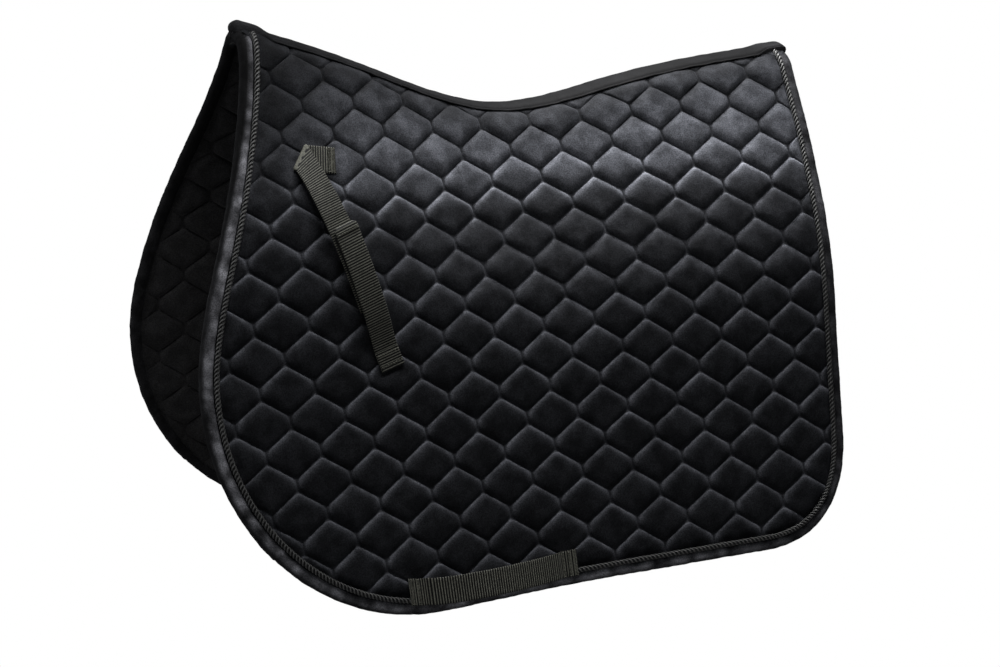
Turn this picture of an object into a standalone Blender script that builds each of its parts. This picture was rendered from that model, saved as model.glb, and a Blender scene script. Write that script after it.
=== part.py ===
"""All purpose saddle pad, quilted, with hook-and-loop billet straps and girth loops.

The horse's head is towards -X, its tail towards +X, and +Z is up.
The left (near) flap hangs at -Y and the right (off) flap at +Y.
Lengths are metres and angles are degrees.

Each flap is one surface in three coordinates:
  along   distance along the pad, the same as X on the surface
  down    distance down the flap, measured over the surface from the spine
  height  distance out of the surface, away from the horse
"""
import math

import bmesh
import bpy
import numpy as np
from mathutils import Vector
from mathutils.geometry import delaunay_2d_cdt

# Outline of a flap, seen from the side
PAD_LENGTH = 0.658
SPINE_DIP_HEIGHT = 0.448
SPINE_DIP_SETBACK = 0.331
WITHERS_RISE = 0.087
CANTLE_RISE = 0.043
FRONT_TIP_SETBACK = 0.078
REAR_TIP_SETBACK = 0.004
FRONT_BULGE_HEIGHT = 0.224
FRONT_CORNER_REACH = 0.217
BOTTOM_EDGE_RISE = 0.013
REAR_CORNER_REACH = 0.093
REAR_CORNER_HEIGHT = 0.120
REAR_EDGE_HOLLOW = 0.001

# Slope of the flap below the horizontal, in degrees, at distances down from the spine
FLAP_SLOPES = (
    (0.0, 9.0),
    (0.012, 12.0),
    (0.026, 40.0),
    (0.040, 61.0),
    (0.100, 62.5),
    (0.160, 62.0),
    (0.280, 80.5),
    (0.620, 76.5),
)

# Quilting: flattened hexagons that stand on a point
HEXAGON_WIDTH = 0.0525
HEXAGON_SIDE = 0.011
HEXAGON_ROW_PITCH = 0.0290
QUILT_TILT = 1.3
QUILT_START = (-0.3014, -0.2004)
SEAM_LEVEL = -0.0025
CROWN_LEVEL = 0.0040

# Layers of a flap, as heights from the flap's surface
CLEARANCE = 0.0003
EDGE_BED = -0.0012
SPINE_BED = 0.0020
SHELL_INNER = -0.0060
CORE_THICKNESS = 0.0030
LINING_THICKNESS = 0.0022
LINING_CROWN = 0.0018
LAYER_INSET = 0.0020
SPINE_HALF_GAP = 0.0005

# Edge binding, piping cord and spine strips
BINDING_WIDTH = 0.0110
BINDING_THICKNESS = 0.0016
PIPING_DIAMETER = 0.0053
SPINE_BINDING_HALF_WIDTH = 0.0205
SPINE_BINDING_THICKNESS = 0.0022
SPINE_TAPE_HALF_WIDTH = 0.0205
SPINE_TAPE_THICKNESS = 0.0012

# Webbing of the straps and the girth loop
WEBBING_WIDTH = 0.0250
WEBBING_THICKNESS = 0.0013
SEWN_BED = 0.0016
SEWN_BED_MARGIN = 0.0025
PATCH_WIDTH = 0.0200
PATCH_THICKNESS = 0.0008

# Billet strap: where its fold and its foot lie, behind the pad's front and down from the spine
STRAP_TOP_SETBACK = 0.1155
STRAP_TOP_DEPTH = 0.1353
STRAP_FOOT_SETBACK = 0.183
STRAP_FOOT_DEPTH = 0.3097
STRAP_SEWN_LENGTH = 0.033
STRAP_CREASE_ANGLE = 59.0
STRAP_BOW = 0.0155
UPPER_TAB_END = 0.72
LOWER_TAB_END = 0.345
FOOT_TURN_UNDER = 0.016

# Girth loop, above the bottom edge
GIRTH_LOOP_SETBACK = 0.1826
GIRTH_LOOP_LENGTH = 0.1756
GIRTH_LOOP_EDGE_GAP = 0.0094
GIRTH_LOOP_SEWN = 0.015
GIRTH_LOOP_BOW = 0.0155

# Where the horse's back carries the pad: the frame's origin, above the lowest edge
ORIGIN_HEIGHT = 0.4350

# Joint axes: the flaps' above the top line, and the straps' at the top of the foot
FLAP_AXIS_RISE = 0.006

# Mesh density
EDGE_STATIONS = 66
SPINE_STATIONS = 15
COARSE_COLUMNS = 11
COARSE_DEPTHS = (0.040, 0.080, 0.130, 0.170, 0.220, 0.280, 0.370, 0.460)
BEZIER_STEPS = 24

# Places worked out from the sizes
FRONT_X = -PAD_LENGTH / 2
REAR_X = PAD_LENGTH / 2
FRONT_TIP_X = FRONT_X + FRONT_TIP_SETBACK
REAR_TIP_X = REAR_X - REAR_TIP_SETBACK
CORE_OUTER = SHELL_INNER - CLEARANCE
CORE_INNER = CORE_OUTER - CORE_THICKNESS
LINING_OUTER = CORE_INNER - CLEARANCE
LINING_BED = LINING_OUTER - LINING_THICKNESS
HEXAGON_SLANT = HEXAGON_ROW_PITCH - HEXAGON_SIDE
PIPING_RADIUS = PIPING_DIAMETER / 2
PIPING_INSET = BINDING_WIDTH + CLEARANCE + PIPING_RADIUS
PIPING_HEIGHT = EDGE_BED + CLEARANCE + PIPING_RADIUS
QUILT_INSET = PIPING_INSET + PIPING_RADIUS + CLEARANCE

VELVET = ("black_velvet", (0.020, 0.021, 0.024), 0.85)
FOAM = ("grey_foam", (0.30, 0.30, 0.31), 0.95)
LINING_CLOTH = ("black_lining", (0.012, 0.012, 0.012), 0.90)
BINDING_CLOTH = ("binding_velvet", (0.016, 0.017, 0.019), 0.80)
CORD_YARN = ("piping_yarn", (0.030, 0.030, 0.033), 0.50)
WEBBING = ("ribbed_webbing", (0.045, 0.045, 0.040), 0.65)
HOOK_TAPE = ("hook_tape", (0.015, 0.015, 0.015), 0.70)
LOOP_TAPE = ("loop_tape", (0.020, 0.020, 0.020), 0.95)


def clear_scene():
    """Remove every object that the file opened with."""
    for item in list(bpy.data.objects):
        bpy.data.objects.remove(item, do_unlink=True)


def material(finish):
    """Return the finish's material, made the first time it is asked for."""
    name, colour, roughness = finish
    found = bpy.data.materials.get(name)
    if found:
        return found
    made = bpy.data.materials.new(name)
    made.use_nodes = True
    shader = made.node_tree.nodes["Principled BSDF"]
    shader.inputs["Base Color"].default_value = (*colour, 1.0)
    shader.inputs["Roughness"].default_value = roughness
    shader.inputs["Metallic"].default_value = 0.0
    return made


def add_object(name, vertices, faces, finish):
    """Make a named object from world-space vertices, with its faces pointing out.

    Its origin is that of the empty it hangs on, which stands on the piece's joint axis.
    """
    mesh = bpy.data.meshes.new(name)
    origin = joint_origin(name)
    mesh.from_pydata([tuple(map(float, vertex - origin)) for vertex in np.asarray(vertices)], [], faces)
    work = bmesh.new()
    work.from_mesh(mesh)
    bmesh.ops.recalc_face_normals(work, faces=work.faces)
    bmesh.ops.triangulate(work, faces=work.faces, quad_method="SHORT_EDGE")
    work.to_mesh(mesh)
    work.free()
    mesh.materials.append(material(finish))
    item = bpy.data.objects.new(name, mesh)
    item.parent = joint_empty(name)
    bpy.context.scene.collection.objects.link(item)
    return item


def joint_empty(name):
    """The empty that a piece hangs on, by the piece's name, or None for the spine's pieces."""
    side = name.split("_")[0]
    moving = name.endswith(STRAP_OPEN_PIECES)
    return bpy.data.objects.get(side + ("_strap_open" if moving else "_flap_lift"))


def joint_origin(name):
    """World position of the empty that a piece hangs on."""
    empty = joint_empty(name)
    place_of = np.zeros(3)
    while empty:
        place_of += np.array(empty.location)
        empty = empty.parent
    return place_of


def add_empty(name, position, parent=None):
    """An empty at a world position, to carry the pieces of one moving body."""
    empty = bpy.data.objects.new(name, None)
    empty.empty_display_size = 0.03
    empty.location = position if parent is None else np.asarray(position) - np.array(parent.location)
    empty.parent = parent
    bpy.context.scene.collection.objects.link(empty)
    return empty


# Curves in the pad's side view

def spline_through(knots, values):
    """Return a function of x for the natural cubic through the knots, and its slope."""
    x = np.asarray(knots, float)
    y = np.asarray(values, float)
    step = np.diff(x)
    system = np.eye(len(x))
    right = np.zeros(len(x))
    for i in range(1, len(x) - 1):
        system[i, i - 1:i + 2] = step[i - 1], 2 * (step[i - 1] + step[i]), step[i]
        right[i] = 6 * ((y[i + 1] - y[i]) / step[i] - (y[i] - y[i - 1]) / step[i - 1])
    bend = np.linalg.solve(system, right)

    def value(at):
        at = np.asarray(at, float)
        i = np.clip(np.searchsorted(x, at) - 1, 0, len(step) - 1)
        a = (x[i + 1] - at) / step[i]
        b = 1 - a
        curve = ((a ** 3 - a) * bend[i] + (b ** 3 - b) * bend[i + 1]) * step[i] ** 2 / 6
        return a * y[i] + b * y[i + 1] + curve

    def slope(at):
        reach = 1e-5
        return (value(at + reach) - value(at - reach)) / (2 * reach)

    return value, slope


SPINE_DIP_X = FRONT_X + SPINE_DIP_SETBACK
ridge, ridge_slope = spline_through(
    (
        FRONT_TIP_X,
        FRONT_TIP_X + 0.46 * (SPINE_DIP_X - FRONT_TIP_X),
        SPINE_DIP_X,
        SPINE_DIP_X + 0.43 * (REAR_TIP_X - SPINE_DIP_X),
        REAR_TIP_X,
    ),
    (
        SPINE_DIP_HEIGHT + WITHERS_RISE,
        SPINE_DIP_HEIGHT + 0.53 * WITHERS_RISE,
        SPINE_DIP_HEIGHT,
        SPINE_DIP_HEIGHT + 0.45 * CANTLE_RISE,
        SPINE_DIP_HEIGHT + CANTLE_RISE,
    ),
)


def bezier(start, pull_start, pull_end, end):
    """Points on a cubic Bezier curve, without its last one."""
    t = np.linspace(0, 1, BEZIER_STEPS, endpoint=False)[:, None]
    weights = ((1 - t) ** 3, 3 * t * (1 - t) ** 2, 3 * t * t * (1 - t), t ** 3)
    points = (start, pull_start, pull_end, end)
    return sum(w * np.asarray(p) for w, p in zip(weights, points))


def side_outline():
    """The pad's edge in the X-Z plane, from the front tip round the bottom to the rear tip."""
    tip = (FRONT_TIP_X, float(ridge(FRONT_TIP_X)))
    bulge = (FRONT_X, FRONT_BULGE_HEIGHT)
    front_foot = (FRONT_X + FRONT_CORNER_REACH, 0.0)
    rear_foot = (REAR_X - REAR_CORNER_REACH, BOTTOM_EDGE_RISE)
    rear_side = (REAR_X, REAR_CORNER_HEIGHT)
    hollow = (REAR_X - REAR_EDGE_HOLLOW, SPINE_DIP_HEIGHT - 0.057)
    rear_tip = (REAR_TIP_X, float(ridge(REAR_TIP_X)))
    drop = tip[1] - bulge[1]
    pieces = [
        bezier(tip, (tip[0] - 0.004, tip[1] - 0.30 * drop), (bulge[0], bulge[1] + 0.29 * drop), bulge),
        bezier(
            bulge,
            (bulge[0], 0.45 * bulge[1]),
            (front_foot[0] - 0.56 * FRONT_CORNER_REACH, 0.0),
            front_foot,
        ),
        bezier(
            front_foot,
            (front_foot[0] + 0.06, 0.0),
            (rear_foot[0] - 0.08, rear_foot[1] - 0.002),
            rear_foot,
        ),
        bezier(
            rear_foot,
            (rear_foot[0] + 0.62 * REAR_CORNER_REACH, rear_foot[1] + 0.0025),
            (rear_side[0], 0.45 * rear_side[1]),
            rear_side,
        ),
        bezier(
            rear_side,
            (rear_side[0], rear_side[1] + 0.09),
            (hollow[0] - 0.001, hollow[1] - 0.08),
            hollow,
        ),
        bezier(hollow, (hollow[0], hollow[1] + 0.04), (rear_tip[0] - 0.001, rear_tip[1] - 0.03), rear_tip),
        np.array([rear_tip]),
    ]
    return np.vstack(pieces)


# The flap's surface

DOWN_TABLE = np.linspace(0.0, 0.64, 641)
SLOPE_TABLE = np.radians(np.interp(DOWN_TABLE, *zip(*FLAP_SLOPES)))


def running_integral(values):
    """Integral of the values over DOWN_TABLE, by the trapezium rule."""
    steps = 0.5 * (values[1:] + values[:-1]) * np.diff(DOWN_TABLE)
    return np.concatenate([[0.0], np.cumsum(steps)])


REACH_TABLE = running_integral(np.cos(SLOPE_TABLE))
DROP_TABLE = running_integral(np.sin(SLOPE_TABLE))


def spine_shift(height):
    """How far down the flap a layer at this height starts, so that the two flaps don't meet."""
    shifts = []
    for level in np.atleast_1d(height):
        reach = REACH_TABLE + level * np.sin(SLOPE_TABLE)
        short = np.nonzero(reach < SPINE_HALF_GAP)[0]
        last = short[-1] if len(short) else 0
        part = (SPINE_HALF_GAP - reach[last]) / (reach[last + 1] - reach[last])
        shifts.append(DOWN_TABLE[last] + max(part, 0.0) * DOWN_TABLE[1])
    return np.array(shifts)


LEVEL_TABLE = np.linspace(-0.020, 0.012, 65)
SHIFT_TABLE = spine_shift(LEVEL_TABLE)
SHIFT_FADE = 0.045


def place(along, down, height, side):
    """World points of flap coordinates; side is -1 on the left flap and +1 on the right one."""
    along, down, height = np.broadcast_arrays(*(np.asarray(v, float) for v in (along, down, height)))
    fade = np.clip(1 - down / SHIFT_FADE, 0, 1)
    down = down + np.interp(height, LEVEL_TABLE, SHIFT_TABLE) * fade
    slope = np.interp(down, DOWN_TABLE, SLOPE_TABLE)
    reach = np.interp(down, DOWN_TABLE, REACH_TABLE)
    drop = np.interp(down, DOWN_TABLE, DROP_TABLE)
    fall = ridge_slope(along)
    length = np.sqrt(1 + (fall * np.cos(slope)) ** 2)
    return np.stack(
        [
            along - height * fall * np.cos(slope) / length,
            side * (reach + height * np.sin(slope) / length),
            ridge(along) - drop + height * np.cos(slope) / length - ORIGIN_HEIGHT,
        ],
        axis=-1,
    )


def down_at(x, z):
    """Distance down the flap of the surface point seen at x, z from the side."""
    return np.interp(ridge(x) - z, DROP_TABLE, DOWN_TABLE)


def spaced_points(path, count):
    """The path as a number of points at equal distances, closer at its ends on the spine's bend."""
    lengths = np.concatenate([[0.0], np.cumsum(np.linalg.norm(np.diff(path, axis=0), axis=1))])
    ends = np.array([0.0, 0.5, 1.0, 1.7]) * (SPINE_BINDING_HALF_WIDTH + 0.0002)
    first = 2.7 * SPINE_BINDING_HALF_WIDTH
    middle = np.linspace(first, lengths[-1] - first, count - 2 * len(ends))
    marks = np.concatenate([ends, middle, lengths[-1] - ends[::-1]])
    return np.stack([np.interp(marks, lengths, column) for column in path.T], axis=-1)


def edge_frame():
    """Stations round the flap's edge and the outward direction at each, as along and level.

    Level is down less the ridge's height, in which the flap lies nearly flat.
    """
    outline = side_outline()
    down = down_at(outline[:, 0], outline[:, 1])
    flat = np.stack([outline[:, 0], down - ridge(outline[:, 0])], axis=-1)
    points = spaced_points(flat, EDGE_STATIONS)
    points[0, 1] = -ridge(points[0, 0])
    points[-1, 1] = -ridge(points[-1, 0])
    tangent = np.gradient(points, axis=0)
    outward = np.stack([-tangent[:, 1], tangent[:, 0]], axis=-1)
    outward /= np.linalg.norm(outward, axis=1)[:, None]
    level_line = np.stack([np.sign(outward[:, 0]), -np.sign(outward[:, 0]) * ridge_slope(points[:, 0])], -1)
    down = points[:, 1] + ridge(points[:, 0])
    mix = np.clip(1 - down / 0.05, 0, 1)[:, None]
    return points, outward * (1 - mix) + level_line * mix


EDGE_POINTS, EDGE_OUTWARD = edge_frame()
SPINE_RAMP = BINDING_WIDTH + 0.005
SPINE_ALONG = np.linspace(FRONT_TIP_X + SPINE_RAMP, REAR_TIP_X - SPINE_RAMP, SPINE_STATIONS)


def edge_line(inset):
    """The edge's stations moved inwards by an inset, as along and down."""
    flat = EDGE_POINTS - inset * EDGE_OUTWARD
    return np.stack([flat[:, 0], flat[:, 1] + ridge(flat[:, 0])], axis=-1)


# Solids made of sections

def loft(name, sections, finish, closed=True):
    """Join rings of equal count into one closed body, with a flat cap at each end."""
    rings = [list(map(tuple, ring)) for ring in sections]
    size = len(rings[0])
    vertices = [point for ring in rings for point in ring]
    faces = []
    for i in range(len(rings) - 1):
        for j in range(size):
            k = (j + 1) % size
            faces.append((i * size + j, i * size + k, (i + 1) * size + k, (i + 1) * size + j))
    if closed:
        last = (len(rings) - 1) * size
        faces.append(tuple(range(size)))
        faces.append(tuple(last + j for j in reversed(range(size))))
    return add_object(name, vertices, faces, finish)


def edge_sections(profile, side):
    """Sections round the flap's edge; a profile point is (inset, height)."""
    columns = []
    for inset, height in profile:
        line = edge_line(inset)
        columns.append(place(line[:, 0], np.maximum(line[:, 1], 0.0), height, side))
    return np.stack(columns, axis=1)


def ribbon(name, left, right, thickness, finish):
    """A flat strip between two rows of points, thick to both sides of them."""
    left = np.asarray(left, float)
    right = np.asarray(right, float)
    middle = (left + right) / 2
    tangent = np.gradient(middle, axis=0)
    across = right - left
    normal = np.cross(tangent, across)
    normal /= np.linalg.norm(normal, axis=1)[:, None]
    half = normal * thickness / 2
    return loft(name, np.stack([left - half, right - half, right + half, left + half], axis=1), finish)


# Panels of a flap

def quilt_points():
    """Centres and corners of the hexagons, as along and level, with a true flag on the centres."""
    tilt = math.radians(QUILT_TILT)
    points = []
    centres = []
    for row in range(-14, 12):
        for column in range(-3, 17):
            u = HEXAGON_WIDTH * (column + (row % 2) / 2)
            v = HEXAGON_ROW_PITCH * row
            for rise, is_centre in (
                (0.0, False),
                (-HEXAGON_SIDE, False),
                (HEXAGON_SLANT + HEXAGON_SIDE / 2, True),
            ):
                along = u * math.cos(tilt) + (v + rise) * math.sin(tilt)
                level = -u * math.sin(tilt) + (v + rise) * math.cos(tilt)
                points.append((QUILT_START[0] + along, QUILT_START[1] + level))
                centres.append(is_centre)
    return np.array(points), np.array(centres)


def inside(points, polygon, margin):
    """True for the points inside the polygon and farther than the margin from its edges."""
    start = polygon
    end = np.roll(polygon, -1, axis=0)
    x, y = points[:, :1], points[:, 1:]
    crosses = (start[:, 1] > y) != (end[:, 1] > y)
    rise = np.where(end[:, 1] == start[:, 1], 1.0, end[:, 1] - start[:, 1])
    at = start[:, 0] + (y - start[:, 1]) / rise * (end[:, 0] - start[:, 0])
    odd = (crosses & (x < at)).sum(axis=1) % 2 == 1
    edge = end - start
    part = ((points[:, None] - start) * edge).sum(-1) / np.maximum((edge ** 2).sum(-1), 1e-12)
    nearest = start + np.clip(part, 0, 1)[..., None] * edge
    gap = np.linalg.norm(points[:, None] - nearest, axis=-1).min(axis=1)
    return odd & (gap > margin)


def spine_row(down, inset):
    """Points along the spine at a distance down, between the edge's two ends at an inset."""
    edge = edge_line(inset)
    half = len(edge) // 2
    front = np.interp(down, edge[:half, 1], edge[:half, 0])
    rear = np.interp(down, edge[::-1][:half, 1], edge[::-1][:half, 0])
    between = SPINE_ALONG[(SPINE_ALONG > front + 0.002) & (SPINE_ALONG < rear - 0.002)]
    along = np.concatenate([[front], between, [rear]])
    return np.stack([along, np.full(len(along), down)], axis=-1)


def panel_boundary(inset):
    """The panel's border as along and down: the bound edge, then back along the spine."""
    edge = edge_line(inset)
    edge[[0, -1], 1] = 0.0
    spine = spine_row(0.0, BINDING_WIDTH + CLEARANCE)[::-1]
    return np.vstack([edge, spine])


def flatten(points):
    """Along and down as along and level."""
    return np.stack([points[:, 0], points[:, 1] - ridge(points[:, 0])], axis=-1)


def coarse_points():
    """A sparse grid of inner points, as along and down, closer where the flap is bent."""
    grid = [
        (x, down)
        for down in COARSE_DEPTHS
        for x in np.linspace(FRONT_X, REAR_X, COARSE_COLUMNS)
    ]
    return np.array(grid)


def bed_points(bed):
    """Grid of points under a sewn patch, as along and down."""
    corner, along_way, down_way, columns, rows = bed
    return np.array(
        [
            corner + along_way * i / (columns - 1) + down_way * j / (rows - 1)
            for j in range(rows)
            for i in range(columns)
        ]
    )


def near_bed(points, bed, margin):
    """True for the points on a sewn patch or within the margin of it."""
    corner, along_way, down_way, _, _ = bed
    shape = np.stack([along_way, down_way], axis=1)
    local = (points - corner) @ np.linalg.inv(shape).T
    reach = margin / np.linalg.norm(shape, axis=0)
    return ((local > -reach) & (local < 1 + reach)).all(axis=1)


def triangulate(border, inner, chains):
    """Triangles of the border polygon with the inner points, both as along and level.

    A chain is a count of inner points, from the first, that follow one another along a crease.
    """
    points = np.vstack([border, inner])
    edges = [(i, (i + 1) % len(border)) for i in range(len(border))]
    start = len(border)
    for count in chains:
        edges.extend((i, i + 1) for i in range(start, start + count - 1))
        start += count
    result = delaunay_2d_cdt([Vector(p) for p in points], edges, [], 1, 1e-7)
    vertices, faces, sources = result[0], result[2], result[3]
    index = [source[0] for source in sources]
    assert len(vertices) == len(points), "two points of a panel coincide"
    return [tuple(index[i] for i in face) for face in faces]


def panel(name, side, outer, inner, finish):
    """A sheet between two faces; each face is (inner points, heights, border heights, chains)."""
    border = panel_boundary(LAYER_INSET)
    count = len(border)
    vertices = []
    faces = []
    for points, heights, border_heights, chains in (outer, inner):
        base = len(vertices)
        everything = np.vstack([border, points])
        levels = np.concatenate([border_heights, heights])
        vertices.extend(place(everything[:, 0], everything[:, 1], levels, side))
        for face in triangulate(flatten(border), flatten(points), chains):
            faces.append(tuple(base + i for i in face))
        if base:
            faces.extend((i, (i + 1) % count, base + (i + 1) % count, base + i) for i in range(count))
    return add_object(name, vertices, faces, finish)


def with_ends(count, level, end_level):
    """A row of equal heights with another height at both its ends."""
    heights = np.full(count, level)
    heights[[0, -1]] = end_level
    return heights


def bend_rows():
    """Rows along the spine's bend: under the middle of the spine binding, and in the groove below it."""
    bend = spine_row(SPINE_BINDING_HALF_WIDTH / 2, BINDING_WIDTH + CLEARANCE)
    groove = spine_row(SPINE_BINDING_HALF_WIDTH + 0.0040, QUILT_INSET)
    return bend, groove


def quilted_face(bed_level, seam_level, crown_level, spine_level, beds):
    """Points and heights of a quilted face, flat under its binding and its sewn patches."""
    border = panel_boundary(LAYER_INSET)
    ring = edge_line(QUILT_INSET)
    ring = ring[(ring[:, 1] > SPINE_BINDING_HALF_WIDTH + 0.008)]
    bend_row, groove_row = bend_rows()
    band_row = spine_row(SPINE_BINDING_HALF_WIDTH + 0.0002, BINDING_WIDTH + CLEARANCE)
    frame = np.vstack([ring, groove_row[::-1]])
    lattice, centres = quilt_points()
    keep = inside(lattice, flatten(frame), 0.0045)
    lattice, centres = lattice[keep], centres[keep]
    lattice = np.stack([lattice[:, 0], lattice[:, 1] + ridge(lattice[:, 0])], axis=-1)
    keep = np.ones(len(lattice), bool)
    for bed in beds:
        keep &= ~near_bed(lattice, bed, 0.004)
    lattice, centres = lattice[keep], centres[keep]
    points = [ring, bend_row, band_row, groove_row, lattice]
    heights = [
        np.full(len(ring), bed_level),
        with_ends(len(bend_row), spine_level, bed_level),
        with_ends(len(band_row), spine_level, bed_level),
        np.full(len(groove_row), seam_level),
        np.where(centres, crown_level, seam_level),
    ]
    for bed in beds:
        grid = bed_points(bed)
        points.append(grid)
        heights.append(np.full(len(grid), SEWN_BED))
    spine_heights = with_ends(len(border) - EDGE_STATIONS, spine_level, bed_level)
    border_heights = np.concatenate([np.full(EDGE_STATIONS, bed_level), spine_heights])
    chains = (len(ring), len(bend_row), len(band_row), len(groove_row))
    return np.vstack(points), np.concatenate(heights), border_heights, chains


def plain_face(level):
    """Points and heights of a smooth face at one height."""
    border = panel_boundary(LAYER_INSET)
    rows = bend_rows()
    grid = coarse_points()
    grid = grid[inside(flatten(grid), flatten(border), 0.012)]
    points = np.vstack([*rows, grid])
    chains = tuple(len(row) for row in rows)
    return points, np.full(len(points), level), np.full(len(border), level), chains


# Straps

STRAP_TOP = np.array([FRONT_X + STRAP_TOP_SETBACK, STRAP_TOP_DEPTH])
STRAP_FOOT = np.array([FRONT_X + STRAP_FOOT_SETBACK, STRAP_FOOT_DEPTH])
STRAP_WAY = (STRAP_FOOT - STRAP_TOP) / np.linalg.norm(STRAP_FOOT - STRAP_TOP)
STRAP_ACROSS = np.array([STRAP_WAY[1], -STRAP_WAY[0]])
CREASE_WAY = np.array([-math.cos(math.radians(STRAP_CREASE_ANGLE)), math.sin(math.radians(STRAP_CREASE_ANGLE))])
CREASE_HALF = CREASE_WAY * WEBBING_WIDTH / 2 / math.sin(math.radians(STRAP_CREASE_ANGLE))
LOWER_LAYER = SEWN_BED + CLEARANCE + WEBBING_THICKNESS / 2
UPPER_LAYER = LOWER_LAYER + WEBBING_THICKNESS + CLEARANCE
TAB_STEP = WEBBING_THICKNESS + 2 * PATCH_THICKNESS + 3 * CLEARANCE
STRAP_LENGTH = float(np.linalg.norm(STRAP_FOOT - STRAP_TOP))
STRAP_HINGE = 1 - FOOT_TURN_UNDER / STRAP_LENGTH
STRAP_OPEN_PIECES = ("_strap_lower_tab", "_strap_hook_patch")


def widened(corner, along_way, down_way, columns, rows):
    """A bed with a margin on all its sides."""
    along_margin = along_way * SEWN_BED_MARGIN / np.linalg.norm(along_way)
    down_margin = down_way * SEWN_BED_MARGIN / np.linalg.norm(down_way)
    corner = corner - along_margin - down_margin
    return corner, along_way + 2 * along_margin, down_way + 2 * down_margin, columns, rows


def sewn_bed():
    """The patch of pad under the strap's sewn end."""
    top = STRAP_TOP - CREASE_HALF
    return widened(top, np.array([STRAP_SEWN_LENGTH, 0.0]), 2 * CREASE_HALF, 4, 3)


def foot_bed():
    """The patch of pad under the strap's foot."""
    corner = STRAP_FOOT - FOOT_TURN_UNDER * STRAP_WAY - STRAP_ACROSS * WEBBING_WIDTH / 2
    return widened(corner, STRAP_ACROSS * WEBBING_WIDTH, STRAP_WAY * FOOT_TURN_UNDER, 3, 3)


def girth_line(part):
    """Middle line of the girth loop as along and down; part runs from 0 in front to 1 behind."""
    x = FRONT_X + GIRTH_LOOP_SETBACK + GIRTH_LOOP_LENGTH * np.asarray(part, float)
    outline = side_outline()
    bottom = outline[outline[:, 1] < FRONT_BULGE_HEIGHT / 2]
    bottom = bottom[np.argsort(bottom[:, 0])]
    z = np.interp(x, bottom[:, 0], bottom[:, 1]) + GIRTH_LOOP_EDGE_GAP + WEBBING_WIDTH / 2
    return np.stack([x, down_at(x, z)], axis=-1)


def girth_beds():
    """The patches of pad under the girth loop's two sewn ends, above the piping."""
    beds = []
    top_half = np.array([0.0, -WEBBING_WIDTH / 2])
    height = WEBBING_WIDTH - (QUILT_INSET - GIRTH_LOOP_EDGE_GAP) - 0.004
    for first in (0.0, 1.0 - GIRTH_LOOP_SEWN / GIRTH_LOOP_LENGTH):
        corner = girth_line(first) + top_half
        far = girth_line(first + GIRTH_LOOP_SEWN / GIRTH_LOOP_LENGTH) + top_half
        beds.append(widened(corner, far - corner, np.array([0.0, height]), 3, 2))
    return beds


def bow(part):
    """Shape of the strap's stand-off: 0 at its fold and at its foot."""
    return np.sin(np.pi * np.clip(part / STRAP_HINGE, 0, 1) ** 0.75)


def upper_tab_height(part):
    """Height of the upper tab's middle at a part of the way from its fold to the foot."""
    return UPPER_LAYER + STRAP_BOW * bow(part)


def lower_tab_height(part):
    """Height of the lower tab's middle, which lies on the patches and comes down to its foot."""
    t = np.clip((part - UPPER_TAB_END) / (STRAP_HINGE - UPPER_TAB_END), 0, 1)
    return upper_tab_height(part) + TAB_STEP * (1 - t * t * (3 - 2 * t))


def strap_edges(parts, heights, width, side):
    """Left and right edge points of a run of strap."""
    middle = STRAP_TOP + np.asarray(parts)[:, None] * (STRAP_FOOT - STRAP_TOP)
    edges = []
    for sign in (-1, 1):
        line = middle + sign * STRAP_ACROSS * width / 2
        edges.append(place(line[:, 0], line[:, 1], heights, side))
    return edges


def fold_round(centre_height, spread, start_angle, end_angle, steps):
    """Offsets (beyond, height) of a strip that turns back on itself round a small radius."""
    angles = np.radians(np.linspace(start_angle, end_angle, steps))
    return spread * np.cos(angles), centre_height + spread * np.sin(angles)


def upper_tab(name, side):
    """The strap's upper part: sewn on flat, folded on a slant and led down the pad."""
    crease_top = STRAP_TOP - CREASE_HALF
    crease_bottom = STRAP_TOP + CREASE_HALF
    rows = []
    for part in np.linspace(1, 0.05, 5):
        shift = np.array([STRAP_SEWN_LENGTH * part, 0.0])
        rows.append((crease_top + shift, crease_bottom + shift, LOWER_LAYER))
    turn = (UPPER_LAYER - LOWER_LAYER) / 2
    beyond, heights = fold_round((UPPER_LAYER + LOWER_LAYER) / 2, turn, -90, 90, 6)
    for out, height in zip(beyond, heights):
        shift = np.array([-out, 0.0])
        rows.append((crease_top + shift, crease_bottom + shift, height))
    for part in np.concatenate([[0.045, 0.10, 0.16], np.linspace(0.22, UPPER_TAB_END, 10)]):
        middle = STRAP_TOP + part * (STRAP_FOOT - STRAP_TOP)
        mix = min(part / 0.16, 1.0)
        half = -CREASE_HALF * (1 - mix) + STRAP_ACROSS * WEBBING_WIDTH / 2 * mix
        rows.append((middle + half, middle - half, float(upper_tab_height(part))))
    first = np.array([place(*a, h, side) for a, b, h in rows])
    second = np.array([place(*b, h, side) for a, b, h in rows])
    return ribbon(name, first, second, WEBBING_THICKNESS, WEBBING)


def lower_tab(name, side):
    """The strap's lower part: from its foot up over the upper part."""
    parts = np.linspace(LOWER_TAB_END, STRAP_HINGE, 14)
    left, right = strap_edges(parts, lower_tab_height(parts), WEBBING_WIDTH, side)
    return ribbon(name, left, right, WEBBING_THICKNESS, WEBBING)


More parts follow.
